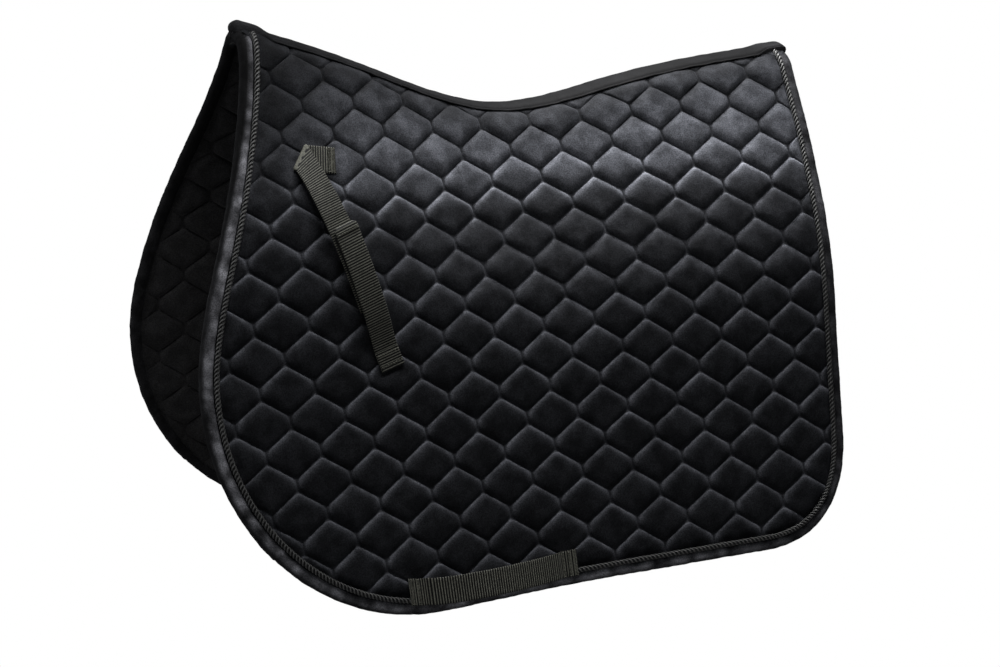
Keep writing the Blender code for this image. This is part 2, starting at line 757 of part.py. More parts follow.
def strap_foot(name, side):
    """The strap's foot: sewn to the pad, with its end turned under."""
    parts = [STRAP_HINGE + CLEARANCE / STRAP_LENGTH, 0.95, 0.98]
    heights = [UPPER_LAYER] * len(parts)
    turn = (UPPER_LAYER - LOWER_LAYER) / 2
    beyond, levels = fold_round((UPPER_LAYER + LOWER_LAYER) / 2, turn, 90, -90, 6)
    parts.extend(1 + beyond / STRAP_LENGTH)
    heights.extend(levels)
    for back in (0.4, 1.0):
        parts.append(1 - back * FOOT_TURN_UNDER / STRAP_LENGTH)
        heights.append(LOWER_LAYER)
    left, right = strap_edges(parts, np.array(heights), WEBBING_WIDTH, side)
    return ribbon(name, left, right, WEBBING_THICKNESS, WEBBING)


def strap_axis(side):
    """Two points on the axis that the lower tab opens about, on its outer face."""
    outer_face = float(lower_tab_height(STRAP_HINGE)) + WEBBING_THICKNESS / 2
    left, right = strap_edges([STRAP_HINGE], outer_face, WEBBING_WIDTH, side)
    return left[0], right[0]


def patch(name, side, lift, finish):
    """A strip of hook or loop tape between the strap's two parts."""
    parts = np.linspace(LOWER_TAB_END + 0.03, UPPER_TAB_END - 0.03, 9)
    left, right = strap_edges(parts, upper_tab_height(parts) + lift, PATCH_WIDTH, side)
    return ribbon(name, left, right, PATCH_THICKNESS, finish)


def girth_loop(name, side):
    """Webbing sewn down at both ends, bowed between them so that a girth goes behind it."""
    sewn = GIRTH_LOOP_SEWN / GIRTH_LOOP_LENGTH
    free = np.linspace(sewn, 1 - sewn, 13)
    parts = np.concatenate([[0.0, sewn / 2], free, [1 - sewn / 2, 1.0]])
    lift = np.zeros(len(parts))
    swell = np.sin(np.pi * (free - sewn) / (1 - 2 * sewn))
    lift[2:-2] = GIRTH_LOOP_BOW * swell ** 0.7
    middle = girth_line(parts)
    half = np.array([0.0, WEBBING_WIDTH / 2])
    cord_top = PIPING_HEIGHT + PIPING_RADIUS + CLEARANCE + WEBBING_THICKNESS / 2
    above_cord = (PIPING_INSET - GIRTH_LOOP_EDGE_GAP) / WEBBING_WIDTH
    upper_height = LOWER_LAYER
    lower_height = upper_height + (cord_top + 0.0002 - upper_height) / (1 - above_cord)
    upper = place(*(middle - half).T, upper_height + lift, side)
    lower = place(*(middle + half).T, lower_height + lift, side)
    return ribbon(name, upper, lower, WEBBING_THICKNESS, WEBBING)


# Whole pieces

def edge_binding(name, side):
    """Velvet strip folded round the flap's edge, open towards the flap."""
    top_inner = EDGE_BED + CLEARANCE
    top_outer = top_inner + BINDING_THICKNESS
    under_inner = LINING_BED - CLEARANCE
    under_outer = under_inner - BINDING_THICKNESS
    wall = LAYER_INSET - CLEARANCE
    profile = (
        (BINDING_WIDTH, top_inner),
        (BINDING_WIDTH, top_outer - 0.0004),
        (BINDING_WIDTH * 0.6, top_outer + 0.0004),
        (BINDING_WIDTH * 0.2, top_outer - 0.0003),
        (0.0, top_inner - 0.0016),
        (0.0, under_inner + 0.0016),
        (BINDING_WIDTH * 0.2, under_outer + 0.0002),
        (BINDING_WIDTH, under_outer + 0.0004),
        (BINDING_WIDTH, under_inner),
        (wall, under_inner),
        (wall, top_inner),
    )
    return loft(name, edge_sections(profile, side), BINDING_CLOTH)


def piping_cord(name, side):
    """Cord laid beside the binding, from below the spine binding round to the other end."""
    angles = np.radians(np.arange(0, 360, 60))
    profile = [
        (PIPING_INSET + PIPING_RADIUS * math.cos(a), PIPING_HEIGHT + PIPING_RADIUS * math.sin(a))
        for a in angles
    ]
    middle = edge_line(PIPING_INSET)[:, 1]
    start = SPINE_BINDING_HALF_WIDTH + 0.004
    keep = middle > start
    sections = edge_sections(profile, side)
    return loft(name, sections[keep], CORD_YARN)


def spine_strip(name, half_width, inner, thickness, finish):
    """A strip that lies over the spine and a little way down both flaps."""
    rows = []
    for side, downs in ((-1, (1.0, 0.5, 0.0)), (1, (0.0, 0.5, 1.0))):
        for part in downs:
            rows.append((side, part * half_width, inner + thickness))
    rows.extend([(side, down, inner) for side, down, _ in reversed(rows)])
    columns = []
    for side, down, level in rows:
        line = spine_row(down, BINDING_WIDTH + CLEARANCE)
        columns.append(place(line[:, 0], line[:, 1], level, side))
    return loft(name, np.stack(columns, axis=1), finish)


def flap(prefix, side):
    """All the pieces of one flap, on empties that stand on its joints' axes."""
    top_front, top_rear = (ridge(x) - ORIGIN_HEIGHT for x in (FRONT_TIP_X, REAR_TIP_X))
    height = np.interp(0.0, (FRONT_TIP_X, REAR_TIP_X), (top_front, top_rear)) + FLAP_AXIS_RISE
    flap_empty = add_empty(prefix + "_flap_lift", (0.0, 0.0, height))
    add_empty(prefix + "_strap_open", np.mean(strap_axis(side), axis=0), flap_empty)
    beds = [sewn_bed(), foot_bed(), *girth_beds()]
    outer = quilted_face(EDGE_BED, SEAM_LEVEL, CROWN_LEVEL, SPINE_BED, beds)
    under = quilted_face(LINING_BED, LINING_BED + 0.0004, LINING_BED - LINING_CROWN, LINING_BED, [])
    panel(prefix + "_outer_shell", side, outer, plain_face(SHELL_INNER), VELVET)
    panel(prefix + "_core_padding", side, plain_face(CORE_OUTER), plain_face(CORE_INNER), FOAM)
    panel(prefix + "_lining", side, plain_face(LINING_OUTER), under, LINING_CLOTH)
    edge_binding(prefix + "_edge_binding", side)
    piping_cord(prefix + "_piping_cord", side)
    upper_tab(prefix + "_strap_upper_tab", side)
    lower_tab(prefix + "_strap_lower_tab", side)
    strap_foot(prefix + "_strap_foot", side)
    loop_lift = WEBBING_THICKNESS / 2 + CLEARANCE + PATCH_THICKNESS / 2
    hook_lift = loop_lift + PATCH_THICKNESS + CLEARANCE
    patch(prefix + "_strap_loop_patch", side, loop_lift, LOOP_TAPE)
    patch(prefix + "_strap_hook_patch", side, hook_lift, HOOK_TAPE)
    girth_loop(prefix + "_girth_loop", side)


def spine():
    """The strips that join the two flaps, outside and inside."""
    spine_strip(
        "spine_binding",
        SPINE_BINDING_HALF_WIDTH,
        SPINE_BED + CLEARANCE,
        SPINE_BINDING_THICKNESS,
        BINDING_CLOTH,
    )
    spine_strip(
        "spine_tape",
        SPINE_TAPE_HALF_WIDTH,
        LINING_BED - CLEARANCE - SPINE_TAPE_THICKNESS,
        SPINE_TAPE_THICKNESS,
        LINING_CLOTH,
    )


def main():
    """Build the pad."""
    clear_scene()
    flap("left", -1)
    flap("right", 1)
    spine()


main()
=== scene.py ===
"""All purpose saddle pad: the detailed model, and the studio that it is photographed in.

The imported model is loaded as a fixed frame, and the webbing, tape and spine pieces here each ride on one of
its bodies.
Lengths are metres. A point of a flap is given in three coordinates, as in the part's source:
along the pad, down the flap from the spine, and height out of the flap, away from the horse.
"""
from __future__ import annotations

import functools
import logging
import math
from dataclasses import dataclass, field
from enum import Enum

import bpy
import numpy as np
from bpy.types import Material, Mesh, Node, NodeSocket, NodeTree, Object
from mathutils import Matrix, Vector

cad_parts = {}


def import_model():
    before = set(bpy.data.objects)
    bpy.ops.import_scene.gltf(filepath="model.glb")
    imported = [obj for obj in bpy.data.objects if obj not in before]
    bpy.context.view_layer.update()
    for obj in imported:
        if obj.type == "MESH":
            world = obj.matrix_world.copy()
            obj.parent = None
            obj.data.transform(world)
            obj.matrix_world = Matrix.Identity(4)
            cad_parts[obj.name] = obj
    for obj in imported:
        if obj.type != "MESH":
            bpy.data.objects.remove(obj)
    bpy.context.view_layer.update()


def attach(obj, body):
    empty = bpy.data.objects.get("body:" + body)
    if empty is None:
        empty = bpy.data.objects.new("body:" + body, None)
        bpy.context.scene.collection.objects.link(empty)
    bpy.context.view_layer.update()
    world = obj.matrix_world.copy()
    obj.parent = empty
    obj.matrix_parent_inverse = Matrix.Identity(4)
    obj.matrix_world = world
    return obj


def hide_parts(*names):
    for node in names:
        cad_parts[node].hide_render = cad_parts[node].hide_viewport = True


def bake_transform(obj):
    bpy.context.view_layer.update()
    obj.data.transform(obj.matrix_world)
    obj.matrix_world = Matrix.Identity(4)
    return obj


Array = np.ndarray
Values = np.ndarray | float
Pair = tuple[float, float]
Triple = tuple[float, float, float]

LOG = logging.getLogger("saddle_pad")
MM = 0.001
SEED = 7
TINY = 1e-9
BEZIER_STEPS = 80


class Side(Enum):
    """A flap, by the sign of its Y."""

    LEFT = -1
    RIGHT = 1

    @property
    def prefix(self) -> str:
        """Return the word that the side's pieces start with."""
        return self.name.lower()

    @property
    def flap(self) -> str:
        """Return the body that the side's flap rides on."""
        return f"{self.prefix}_flap"

    @property
    def strap(self) -> str:
        """Return the body that the side's opening strap rides on."""
        return f"{self.prefix}_strap"


@dataclass(frozen=True)
class PadSizes:
    """Shape of the flaps, as in the part's source.

    A setback counts from the nearer end of the pad, and a height from the lowest edge. A knot is a
    share of the way between a tip and the dip, counted towards the tail, and the share of the
    tip's rise there. The slopes are pairs of a distance down the flap and its slope in degrees.
    """

    length: float = 0.658
    dip_height: float = 0.448
    dip_setback: float = 0.331
    withers_rise: float = 0.087
    withers_knot: Pair = (0.46, 0.53)
    cantle_rise: float = 0.043
    cantle_knot: Pair = (0.43, 0.45)
    front_tip_setback: float = 0.078
    rear_tip_setback: float = 0.004
    bulge_height: float = 0.224
    front_corner: float = 0.217
    bottom_rise: float = 0.013
    rear_corner: float = 0.093
    rear_corner_height: float = 0.120
    rear_hollow: float = 0.001
    rear_hollow_drop: float = 0.057
    origin_height: float = 0.4350
    spine_half_gap: float = 0.0005
    slopes: tuple[Pair, ...] = (
        (0.0, 9.0),
        (0.012, 12.0),
        (0.026, 40.0),
        (0.040, 61.0),
        (0.100, 62.5),
        (0.160, 62.0),
        (0.280, 80.5),
        (0.620, 76.5),
    )

    @property
    def front(self) -> float:
        """Return the X of the pad's foremost point."""
        return -self.length / 2

    @property
    def rear(self) -> float:
        """Return the X of the pad's rearmost point."""
        return self.length / 2

    @property
    def front_tip(self) -> float:
        """Return the X of the spine's front end."""
        return self.front + self.front_tip_setback

    @property
    def rear_tip(self) -> float:
        """Return the X of the spine's rear end."""
        return self.rear - self.rear_tip_setback


@dataclass(frozen=True)
class QuiltSizes:
    """Pattern and relief of the quilting.

    The pillow rises from its seam by a steep shoulder and a wide slope, each given by the distance
    over which it fades out. The rings are shares of the way from the seam to the middle.
    """

    width: float = 0.0525
    side: float = 0.011
    row_pitch: float = 0.0290
    tilt: float = 1.3
    start: Pair = (-0.3014, -0.2004)
    crown: float = 0.0030
    shoulder: float = 0.0018
    slope: float = 0.0060
    shoulder_share: float = 0.60
    corner: float = 0.0006
    fullness: float = 0.07
    start_share: float = 0.85
    slant_steps: int = 4
    side_steps: int = 1
    rings: tuple[float, ...] = (0.0, 0.045, 0.10, 0.18, 0.30, 0.48, 0.72)


@dataclass(frozen=True)
class EdgeSizes:
    """Binding, cord and spine strips. A bed is the height of the cloth that something lies on."""

    bed: float = -0.0012
    lining_bed: float = -0.0120
    spine_bed: float = 0.0020
    clearance: float = 0.0003
    binding_width: float = 0.0110
    binding_thickness: float = 0.0018
    binding_nose: float = 0.0047
    cord_diameter: float = 0.0053
    cord_lay: float = 0.0124
    cord_strands: int = 3
    spine_half_width: float = 0.0205
    spine_outer: float = 0.0038
    tip_half_widths: Pair = (0.0095, 0.0150)
    tip_length: float = 0.026
    tip_rise: float = 0.0022
    tape_half_width: float = 0.0205
    join_mark: float = 0.534


@dataclass(frozen=True)
class StrapSizes:
    """Webbing of the billet strap and of the girth loop.

    The ends of the tabs are shares of the way from the fold to the foot. The seams are pairs of a
    distance from the webbing's end and a number of stitches.
    """

    width: float = 0.025
    run_width: float = 0.0236
    thickness: float = 0.0013
    rib_pitch: float = 0.00245
    rib_height: float = 0.00030
    sewn_bed: float = 0.0016
    patch_width: float = 0.020
    patch_thickness: float = 0.0008
    top_setback: float = 0.1155
    top_depth: float = 0.1353
    foot_setback: float = 0.183
    foot_depth: float = 0.3097
    fold_rise: float = 0.00175
    fold_half: Pair = (-0.0078, 0.01435)
    sewn_top: Pair = (0.0283, -0.0058)
    sewn_bottom: Pair = (0.0409, -0.0078)
    bow: float = 0.0095
    upper_end: float = 0.72
    lower_start: float = 0.345
    turn_under: float = 0.016
    hem: float = 0.0075
    tab_shift: float = 0.0032
    loop_setback: float = 0.1826
    loop_length: float = 0.1756
    loop_gap: float = 0.0094
    loop_sewn: float = 0.015
    loop_bow: float = 0.0155
    upper_seams: tuple[tuple[float, int], ...] = ((0.0024, 19), (0.0062, 17))
    foot_seams: Pair = (0.0035, 0.0130)
    loop_front_seams: tuple[float, ...] = (0.0022, 0.0092)
    loop_rear_seams: tuple[float, ...] = (0.0150, 0.0085, 0.0022)
    tab_stitches: int = 8
    loop_stitches: int = 18

    @property
    def face(self) -> float:
        """Return the ribs' height over the webbing's middle."""
        return self.thickness / 2 + self.rib_height


PAD = PadSizes()
QUILT = QuiltSizes()
EDGE = EdgeSizes()
STRAP = StrapSizes()
CORD_INSET = EDGE.binding_width + EDGE.clearance + EDGE.cord_diameter / 2
CORD_HEIGHT = EDGE.bed + EDGE.clearance + EDGE.cord_diameter / 2


def smoothstep(value: Array, low: float, high: float) -> Array:
    """Return 0 below low, 1 above high and a smooth rise between them."""
    t = np.clip((np.asarray(value, float) - low) / (high - low), 0, 1)
    return t * t * (3 - 2 * t)


def unit(rows: Array) -> Array:
    """Return vectors of length one that point the same ways."""
    return rows / np.linalg.norm(rows, axis=-1, keepdims=True)


@dataclass
class PadSurface:
    """The middle surface of the flaps, and the way from its coordinates to the frame's.

    The ridge is a natural cubic spline through five knots. A flap's profile runs down from it at
    the slopes of its sizes, and is the same all along the pad.
    """

    sizes: PadSizes

    DEPTH = 0.64
    DEPTH_STEPS = 1281
    LAYERS = (-0.022, 0.014)
    LAYER_STEPS = 73
    SPINE_FADE = 0.045

    def __post_init__(self) -> None:
        """Make the ridge line and the flap's profile."""
        sizes = self.sizes
        dip = sizes.front + sizes.dip_setback
        self._knots = np.array(
            [
                sizes.front_tip,
                sizes.front_tip + sizes.withers_knot[0] * (dip - sizes.front_tip),
                dip,
                dip + sizes.cantle_knot[0] * (sizes.rear_tip - dip),
                sizes.rear_tip,
            ]
        )
        rises = (sizes.withers_rise, sizes.withers_knot[1] * sizes.withers_rise, 0.0)
        rises += (sizes.cantle_knot[1] * sizes.cantle_rise, sizes.cantle_rise)
        self._heights = sizes.dip_height + np.array(rises)
        self._bends = self._spline()
        self._down = np.linspace(0.0, self.DEPTH, self.DEPTH_STEPS)
        self._slope = np.radians(np.interp(self._down, *zip(*sizes.slopes)))
        self._reach = self._integral(np.cos(self._slope))
        self._drop = self._integral(np.sin(self._slope))
        self._levels = np.linspace(*self.LAYERS, self.LAYER_STEPS)
        self._shifts = np.array([self._spine_shift(level) for level in self._levels])

    def _spline(self) -> Array:
        """Solve the natural cubic through the ridge's knots.

        The slopes of neighbouring pieces have to agree at each inner knot, which gives one
        equation for each, and the bend is nought at both ends.

        Returns:
            The second derivative at each knot.
        """
        step = np.diff(self._knots)
        rise = np.diff(self._heights)
        count = len(self._knots)
        system = np.eye(count)
        right = np.zeros(count)
        for i in range(1, count - 1):
            system[i, i - 1:i + 2] = step[i - 1], 2 * (step[i - 1] + step[i]), step[i]
            right[i] = 6 * (rise[i] / step[i] - rise[i - 1] / step[i - 1])
        return np.linalg.solve(system, right)

    def _integral(self, values: Array) -> Array:
        """Return the running integral of the values over the distance down."""
        steps = 0.5 * (values[1:] + values[:-1]) * np.diff(self._down)
        return np.concatenate([[0.0], np.cumsum(steps)])

    def _spine_shift(self, level: float) -> float:
        """Work out how far down a layer starts, so that the two flaps don't meet.

        Args:
            level: the layer's height out of the flap.

        Returns:
            The distance down at which the layer clears the middle of the pad by its gap.
        """
        reach = self._reach + level * np.sin(self._slope)
        short = np.nonzero(reach < self.sizes.spine_half_gap)[0]
        last = short[-1] if len(short) else 0
        part = (self.sizes.spine_half_gap - reach[last]) / (reach[last + 1] - reach[last])
        return self._down[last] + max(part, 0.0) * self._down[1]

    def ridge(self, x: Values) -> Array:
        """Return the ridge's height above the lowest edge.

        Args:
            x: places along the pad.

        Returns:
            Heights in metres.
        """
        at = np.asarray(x, float)
        step = np.diff(self._knots)
        i = np.clip(np.searchsorted(self._knots, at) - 1, 0, len(step) - 1)
        a = (self._knots[i + 1] - at) / step[i]
        b = 1 - a
        curve = (a ** 3 - a) * self._bends[i] + (b ** 3 - b) * self._bends[i + 1]
        return a * self._heights[i] + b * self._heights[i + 1] + curve * step[i] ** 2 / 6

    def ridge_slope(self, x: Values) -> Array:
        """Return the ridge's rise per metre at x."""
        reach = 1e-4
        return (self.ridge(np.asarray(x) + reach) - self.ridge(np.asarray(x) - reach)) / (2 * reach)

    def down_at(self, x: Array, z: Array) -> Array:
        """Return how far down the flap the points at x lie whose heights above the lowest edge are z."""
        return np.interp(self.ridge(x) - z, self._drop, self._down)

    def place(self, along: Values, down: Values, height: Values, side: Side) -> Array:
        """Return points of the frame for points of a flap.

        A point goes out from the ridge by the profile's reach and down by its drop, and then by
        its height along the surface's normal. Near the spine each layer starts a little lower.

        Args:
            along: places along the pad.
            down: distances down the flap.
            height: heights out of the flap.
            side: which flap.

        Returns:
            An array of points, three numbers each.
        """
        values = (np.asarray(v, float) for v in (along, down, height))
        along, down, height = np.broadcast_arrays(*values)
        fade = np.clip(1 - down / self.SPINE_FADE, 0, 1)
        down = down + np.interp(height, self._levels, self._shifts) * fade
        slope = np.interp(down, self._down, self._slope)
        fall = self.ridge_slope(along)
        rise = height / np.sqrt(1 + (fall * np.cos(slope)) ** 2)
        reach = np.interp(down, self._down, self._reach)
        drop = np.interp(down, self._down, self._drop)
        return np.stack(
            [
                along - rise * fall * np.cos(slope),
                side.value * (reach + rise * np.sin(slope)),
                self.ridge(along) - drop + rise * np.cos(slope) - self.sizes.origin_height,
            ],
            axis=-1,
        )


def bezier(*points: Pair) -> Array:
    """Return points on a cubic Bezier curve, without its last one.

    Args:
        points: its two ends, with its two handles between them.

    Returns:
        An array of points.
    """
    t = np.linspace(0, 1, BEZIER_STEPS, endpoint=False)[:, None]
    weights = ((1 - t) ** 3, 3 * t * (1 - t) ** 2, 3 * t * t * (1 - t), t ** 3)
    return sum(weight * np.asarray(point) for weight, point in zip(weights, points))


@dataclass
class PadEdge:
    """The bound edge of a flap, from the front tip round the bottom to the rear tip.

    The edge is a row of Bezier curves in the side view, laid out on the flap and cut into even
    steps. Every station has its place and the direction out of the flap there.
    """

    surface: PadSurface

    SPACING = 0.0020
    TIP_FADE = 0.05
    CHUNK = 4000

    def __post_init__(self) -> None:
        """Lay stations round the edge."""
        surface = self.surface
        self.outline = self._outline()
        across, up = self.outline.T
        flat = np.stack([across, surface.down_at(across, up) - surface.ridge(across)], axis=-1)
        lengths = np.concatenate([[0.0], np.cumsum(np.linalg.norm(np.diff(flat, axis=0), axis=1))])
        self.length = float(lengths[-1])
        self.marks = np.linspace(0, self.length, int(self.length / self.SPACING) + 1)
        self.flat = np.stack([np.interp(self.marks, lengths, column) for column in flat.T], axis=-1)
        self.flat[[0, -1], 1] = -surface.ridge(self.flat[[0, -1], 0])
        tangent = np.gradient(self.flat, axis=0)
        outward = unit(np.stack([-tangent[:, 1], tangent[:, 0]], axis=-1))
        sign = np.sign(outward[:, 0])
        level_line = np.stack([sign, -sign * surface.ridge_slope(self.flat[:, 0])], axis=-1)
        down = self.flat[:, 1] + surface.ridge(self.flat[:, 0])
        mix = np.clip(1 - down / self.TIP_FADE, 0, 1)[:, None]
        self.outward = outward * (1 - mix) + level_line * mix

    def _outline(self) -> Array:
        """Draw the edge as seen from the side, by curves from each landmark to the next.

        The numbers in a curve's handles are steps in metres, or shares of what they multiply.

        Returns:
            Points in the X-Z plane, heights above the edge's lowest point.
        """
        size = self.surface.sizes
        tip = (size.front_tip, float(self.surface.ridge(size.front_tip)))
        bulge = (size.front, size.bulge_height)
        foot = (size.front + size.front_corner, 0.0)
        rear_foot = (size.rear - size.rear_corner, size.bottom_rise)
        rear_side = (size.rear, size.rear_corner_height)
        hollow = (size.rear - size.rear_hollow, size.dip_height - size.rear_hollow_drop)
        rear_tip = (size.rear_tip, float(self.surface.ridge(size.rear_tip)))
        drop = tip[1] - bulge[1]
        runs = [
            bezier(tip, (tip[0] - 0.004, tip[1] - 0.30 * drop), (bulge[0], bulge[1] + 0.29 * drop), bulge),
            bezier(bulge, (bulge[0], 0.45 * bulge[1]), (foot[0] - 0.56 * size.front_corner, 0.0), foot),
            bezier(foot, (foot[0] + 0.06, 0.0), (rear_foot[0] - 0.08, rear_foot[1] - 0.002), rear_foot),
            bezier(
                rear_foot,
                (rear_foot[0] + 0.62 * size.rear_corner, rear_foot[1] + 0.0025),
                (rear_side[0], 0.45 * rear_side[1]),
                rear_side,
            ),
            bezier(
                rear_side,
                (rear_side[0], rear_side[1] + 0.09),
                (hollow[0] - 0.001, hollow[1] - 0.08),
                hollow,
            ),
            bezier(
                hollow,
                (hollow[0], hollow[1] + 0.04),
                (rear_tip[0] - 0.001, rear_tip[1] - 0.03),
                rear_tip,
            ),
        ]
        return np.vstack([*runs, [rear_tip]])

    def line(self, inset: Values) -> tuple[Array, Array]:
        """Return the stations' places along and distances down, moved in from the edge by an inset."""
        flat = self.flat - np.asarray(inset, float)[..., None] * self.outward
        return flat[:, 0], np.maximum(flat[:, 1] + self.surface.ridge(flat[:, 0]), 0.0)

    def inset_of(self, along: Array, down: Array) -> Array:
        """Return how far in from the edge each point lies, below zero outside it.

        The step from the nearest station to the point is measured along the station's direction.

        Args:
            along: places along the pad.
            down: distances down the flap.

        Returns:
            Distances in metres.
        """
        points = np.stack([along, down - self.surface.ridge(along)], axis=-1)
        result = np.empty(len(points))
        stations = self.flat[::2]
        outward = self.outward[::2]
        for first in range(0, len(points), self.CHUNK):
            chunk = points[first:first + self.CHUNK]
            gap = chunk[:, None] - stations[None]
            near = np.linalg.norm(gap, axis=-1).argmin(axis=1)
            step = gap[np.arange(len(chunk)), near]
            result[first:first + self.CHUNK] = -(step * outward[near]).sum(axis=-1)
        return result


SURFACE = PadSurface(PAD)
RIM = PadEdge(SURFACE)


class Noise:
    """Smooth noise over space, the sum of a few seeded sine waves."""

    WAVES = 14
    SPREAD = (0.6, 1.7)

    def __init__(self, seed: int, wave: float) -> None:
        """Draw the waves.

        Args:
            seed: seed of the drawing.
            wave: mean wavelength.
        """
        rng = np.random.default_rng(seed)
        direction = unit(rng.normal(size=(self.WAVES, 3)))
        lengths = wave * rng.uniform(*self.SPREAD, size=self.WAVES)
        self._vectors = direction * (2 * np.pi / lengths)[:, None]
        self._phases = rng.uniform(0, 2 * np.pi, size=self.WAVES)
        self._scale = math.sqrt(2 / self.WAVES)

    def at(self, points: Array) -> Array:
        """Return the noise at some points, mostly from -1 to 1."""
        angles = np.asarray(points, float) @ self._vectors.T + self._phases
        return np.sin(angles).sum(axis=-1) * self._scale


# Meshes

def make_piece(
    name: str,
    vertices: Array,
    faces: list[tuple[int, ...]] | Array,
    material: Material,
    attributes: dict[str, Array] | None = None,
) -> Object:
    """Make a smooth-shaded object.

    Args:
        name: its name.
        vertices: its points in the frame.
        faces: rows of vertex numbers.
        material: its material.
        attributes: numbers for each vertex, by name.

    Returns:
        The new object.
    """
    mesh = bpy.data.meshes.new(name)
    mesh.from_pydata(np.asarray(vertices).tolist(), [], [tuple(map(int, face)) for face in faces])
    mesh.validate()
    for key, values in (attributes or {}).items():
        layer = mesh.attributes.new(key, "FLOAT", "POINT")
        layer.data.foreach_set("value", np.asarray(values, np.float32))
    mesh.materials.append(material)
    mesh.shade_smooth()
    piece = bpy.data.objects.new(name, mesh)
    bpy.context.scene.collection.objects.link(piece)
    return piece


def grid_faces(rows: int, columns: int, offset: int = 0, flip: bool = False) -> Array:
    """Return the quads between rings of points.

    Args:
        rows: number of rings.
        columns: number of points in a ring.
        offset: number of the first point.
        flip: whether the quads turn the other way.

    Returns:
        An array with four vertex numbers in each row.
    """
    i, j = np.meshgrid(np.arange(rows - 1), np.arange(columns), indexing="ij")
    i, j = i.ravel(), j.ravel()
    k = (j + 1) % columns
    quads = np.stack([i * columns + j, i * columns + k, (i + 1) * columns + k, (i + 1) * columns + j], -1)
    return (quads[:, ::-1] if flip else quads) + offset


def tube_rings(path: Array, radius: float, sides: int, up: Array) -> Array:
    """Return rings of points round a path, each square to the path's direction.

    Args:
        path: the tube's centre line.
        radius: its radius.
        sides: points in a ring.
        up: for each point of the path, a direction that it doesn't run along.

    Returns:
        An array of rings.
    """
    tangent = unit(np.gradient(path, axis=0))
    first = unit(np.cross(tangent, up))
    second = np.cross(tangent, first)
    angles = np.linspace(0, 2 * np.pi, sides, endpoint=False)
    spokes = np.cos(angles)[None, :, None] * first[:, None] + np.sin(angles)[None, :, None] * second[:, None]
    return path[:, None] + spokes * radius


class MeshGather:
    """Gathers several grids of points into one mesh."""

    def __init__(self) -> None:
        """Start empty."""
        self.points: list[Array] = []
        self.faces: list[tuple[int, ...]] = []
        self.values: dict[str, list[Array]] = {}
        self.count = 0

    def add_rings(self, rings: Array, flip: bool = False, **values: Array) -> None:
        """Add closed rings in a row, with a cap at each end.

        Args:
            rings: an array of rings of points.
            flip: whether the faces turn the other way.
            **values: numbers for each point, by attribute name, shaped as the rings.
        """
        rows, columns = rings.shape[:2]
        self.points.append(rings.reshape(-1, 3))
        self.faces.extend(map(tuple, grid_faces(rows, columns, self.count, flip)))
        start = tuple(self.count + j for j in range(columns))
        end = tuple(self.count + (rows - 1) * columns + j for j in range(columns))
        self.faces.append(start if flip else start[::-1])
        self.faces.append(end[::-1] if flip else end)
        for key, array in values.items():
            self.values.setdefault(key, []).append(np.asarray(array, float).reshape(-1))
        self.count += rows * columns

    def piece(self, name: str, material: Material) -> Object:
        """Make the object.

        Args:
            name: its name.
            material: its material.

        Returns:
            The new object.
        """
        values = {key: np.concatenate(arrays) for key, arrays in self.values.items()}
        return make_piece(name, np.vstack(self.points), self.faces, material, values)


# Quilting

@dataclass
class QuiltMesh:
    """Hexagons cut into quads, in flap coordinates, with some numbers for each point.

    The ring is 0 on the seams and 1 in the middles, and the rise is the pillow's, from 0 to 1. The
    next two numbers are a painted highlight below the upper seams and a painted shade above the
    lower seams. The inset is the distance in from the flap's edge.
    """

    along: Array
    down: Array
    ring: Array
    rise: Array
    splay: Array
    shade: Array
    inset: Array
    quads: Array


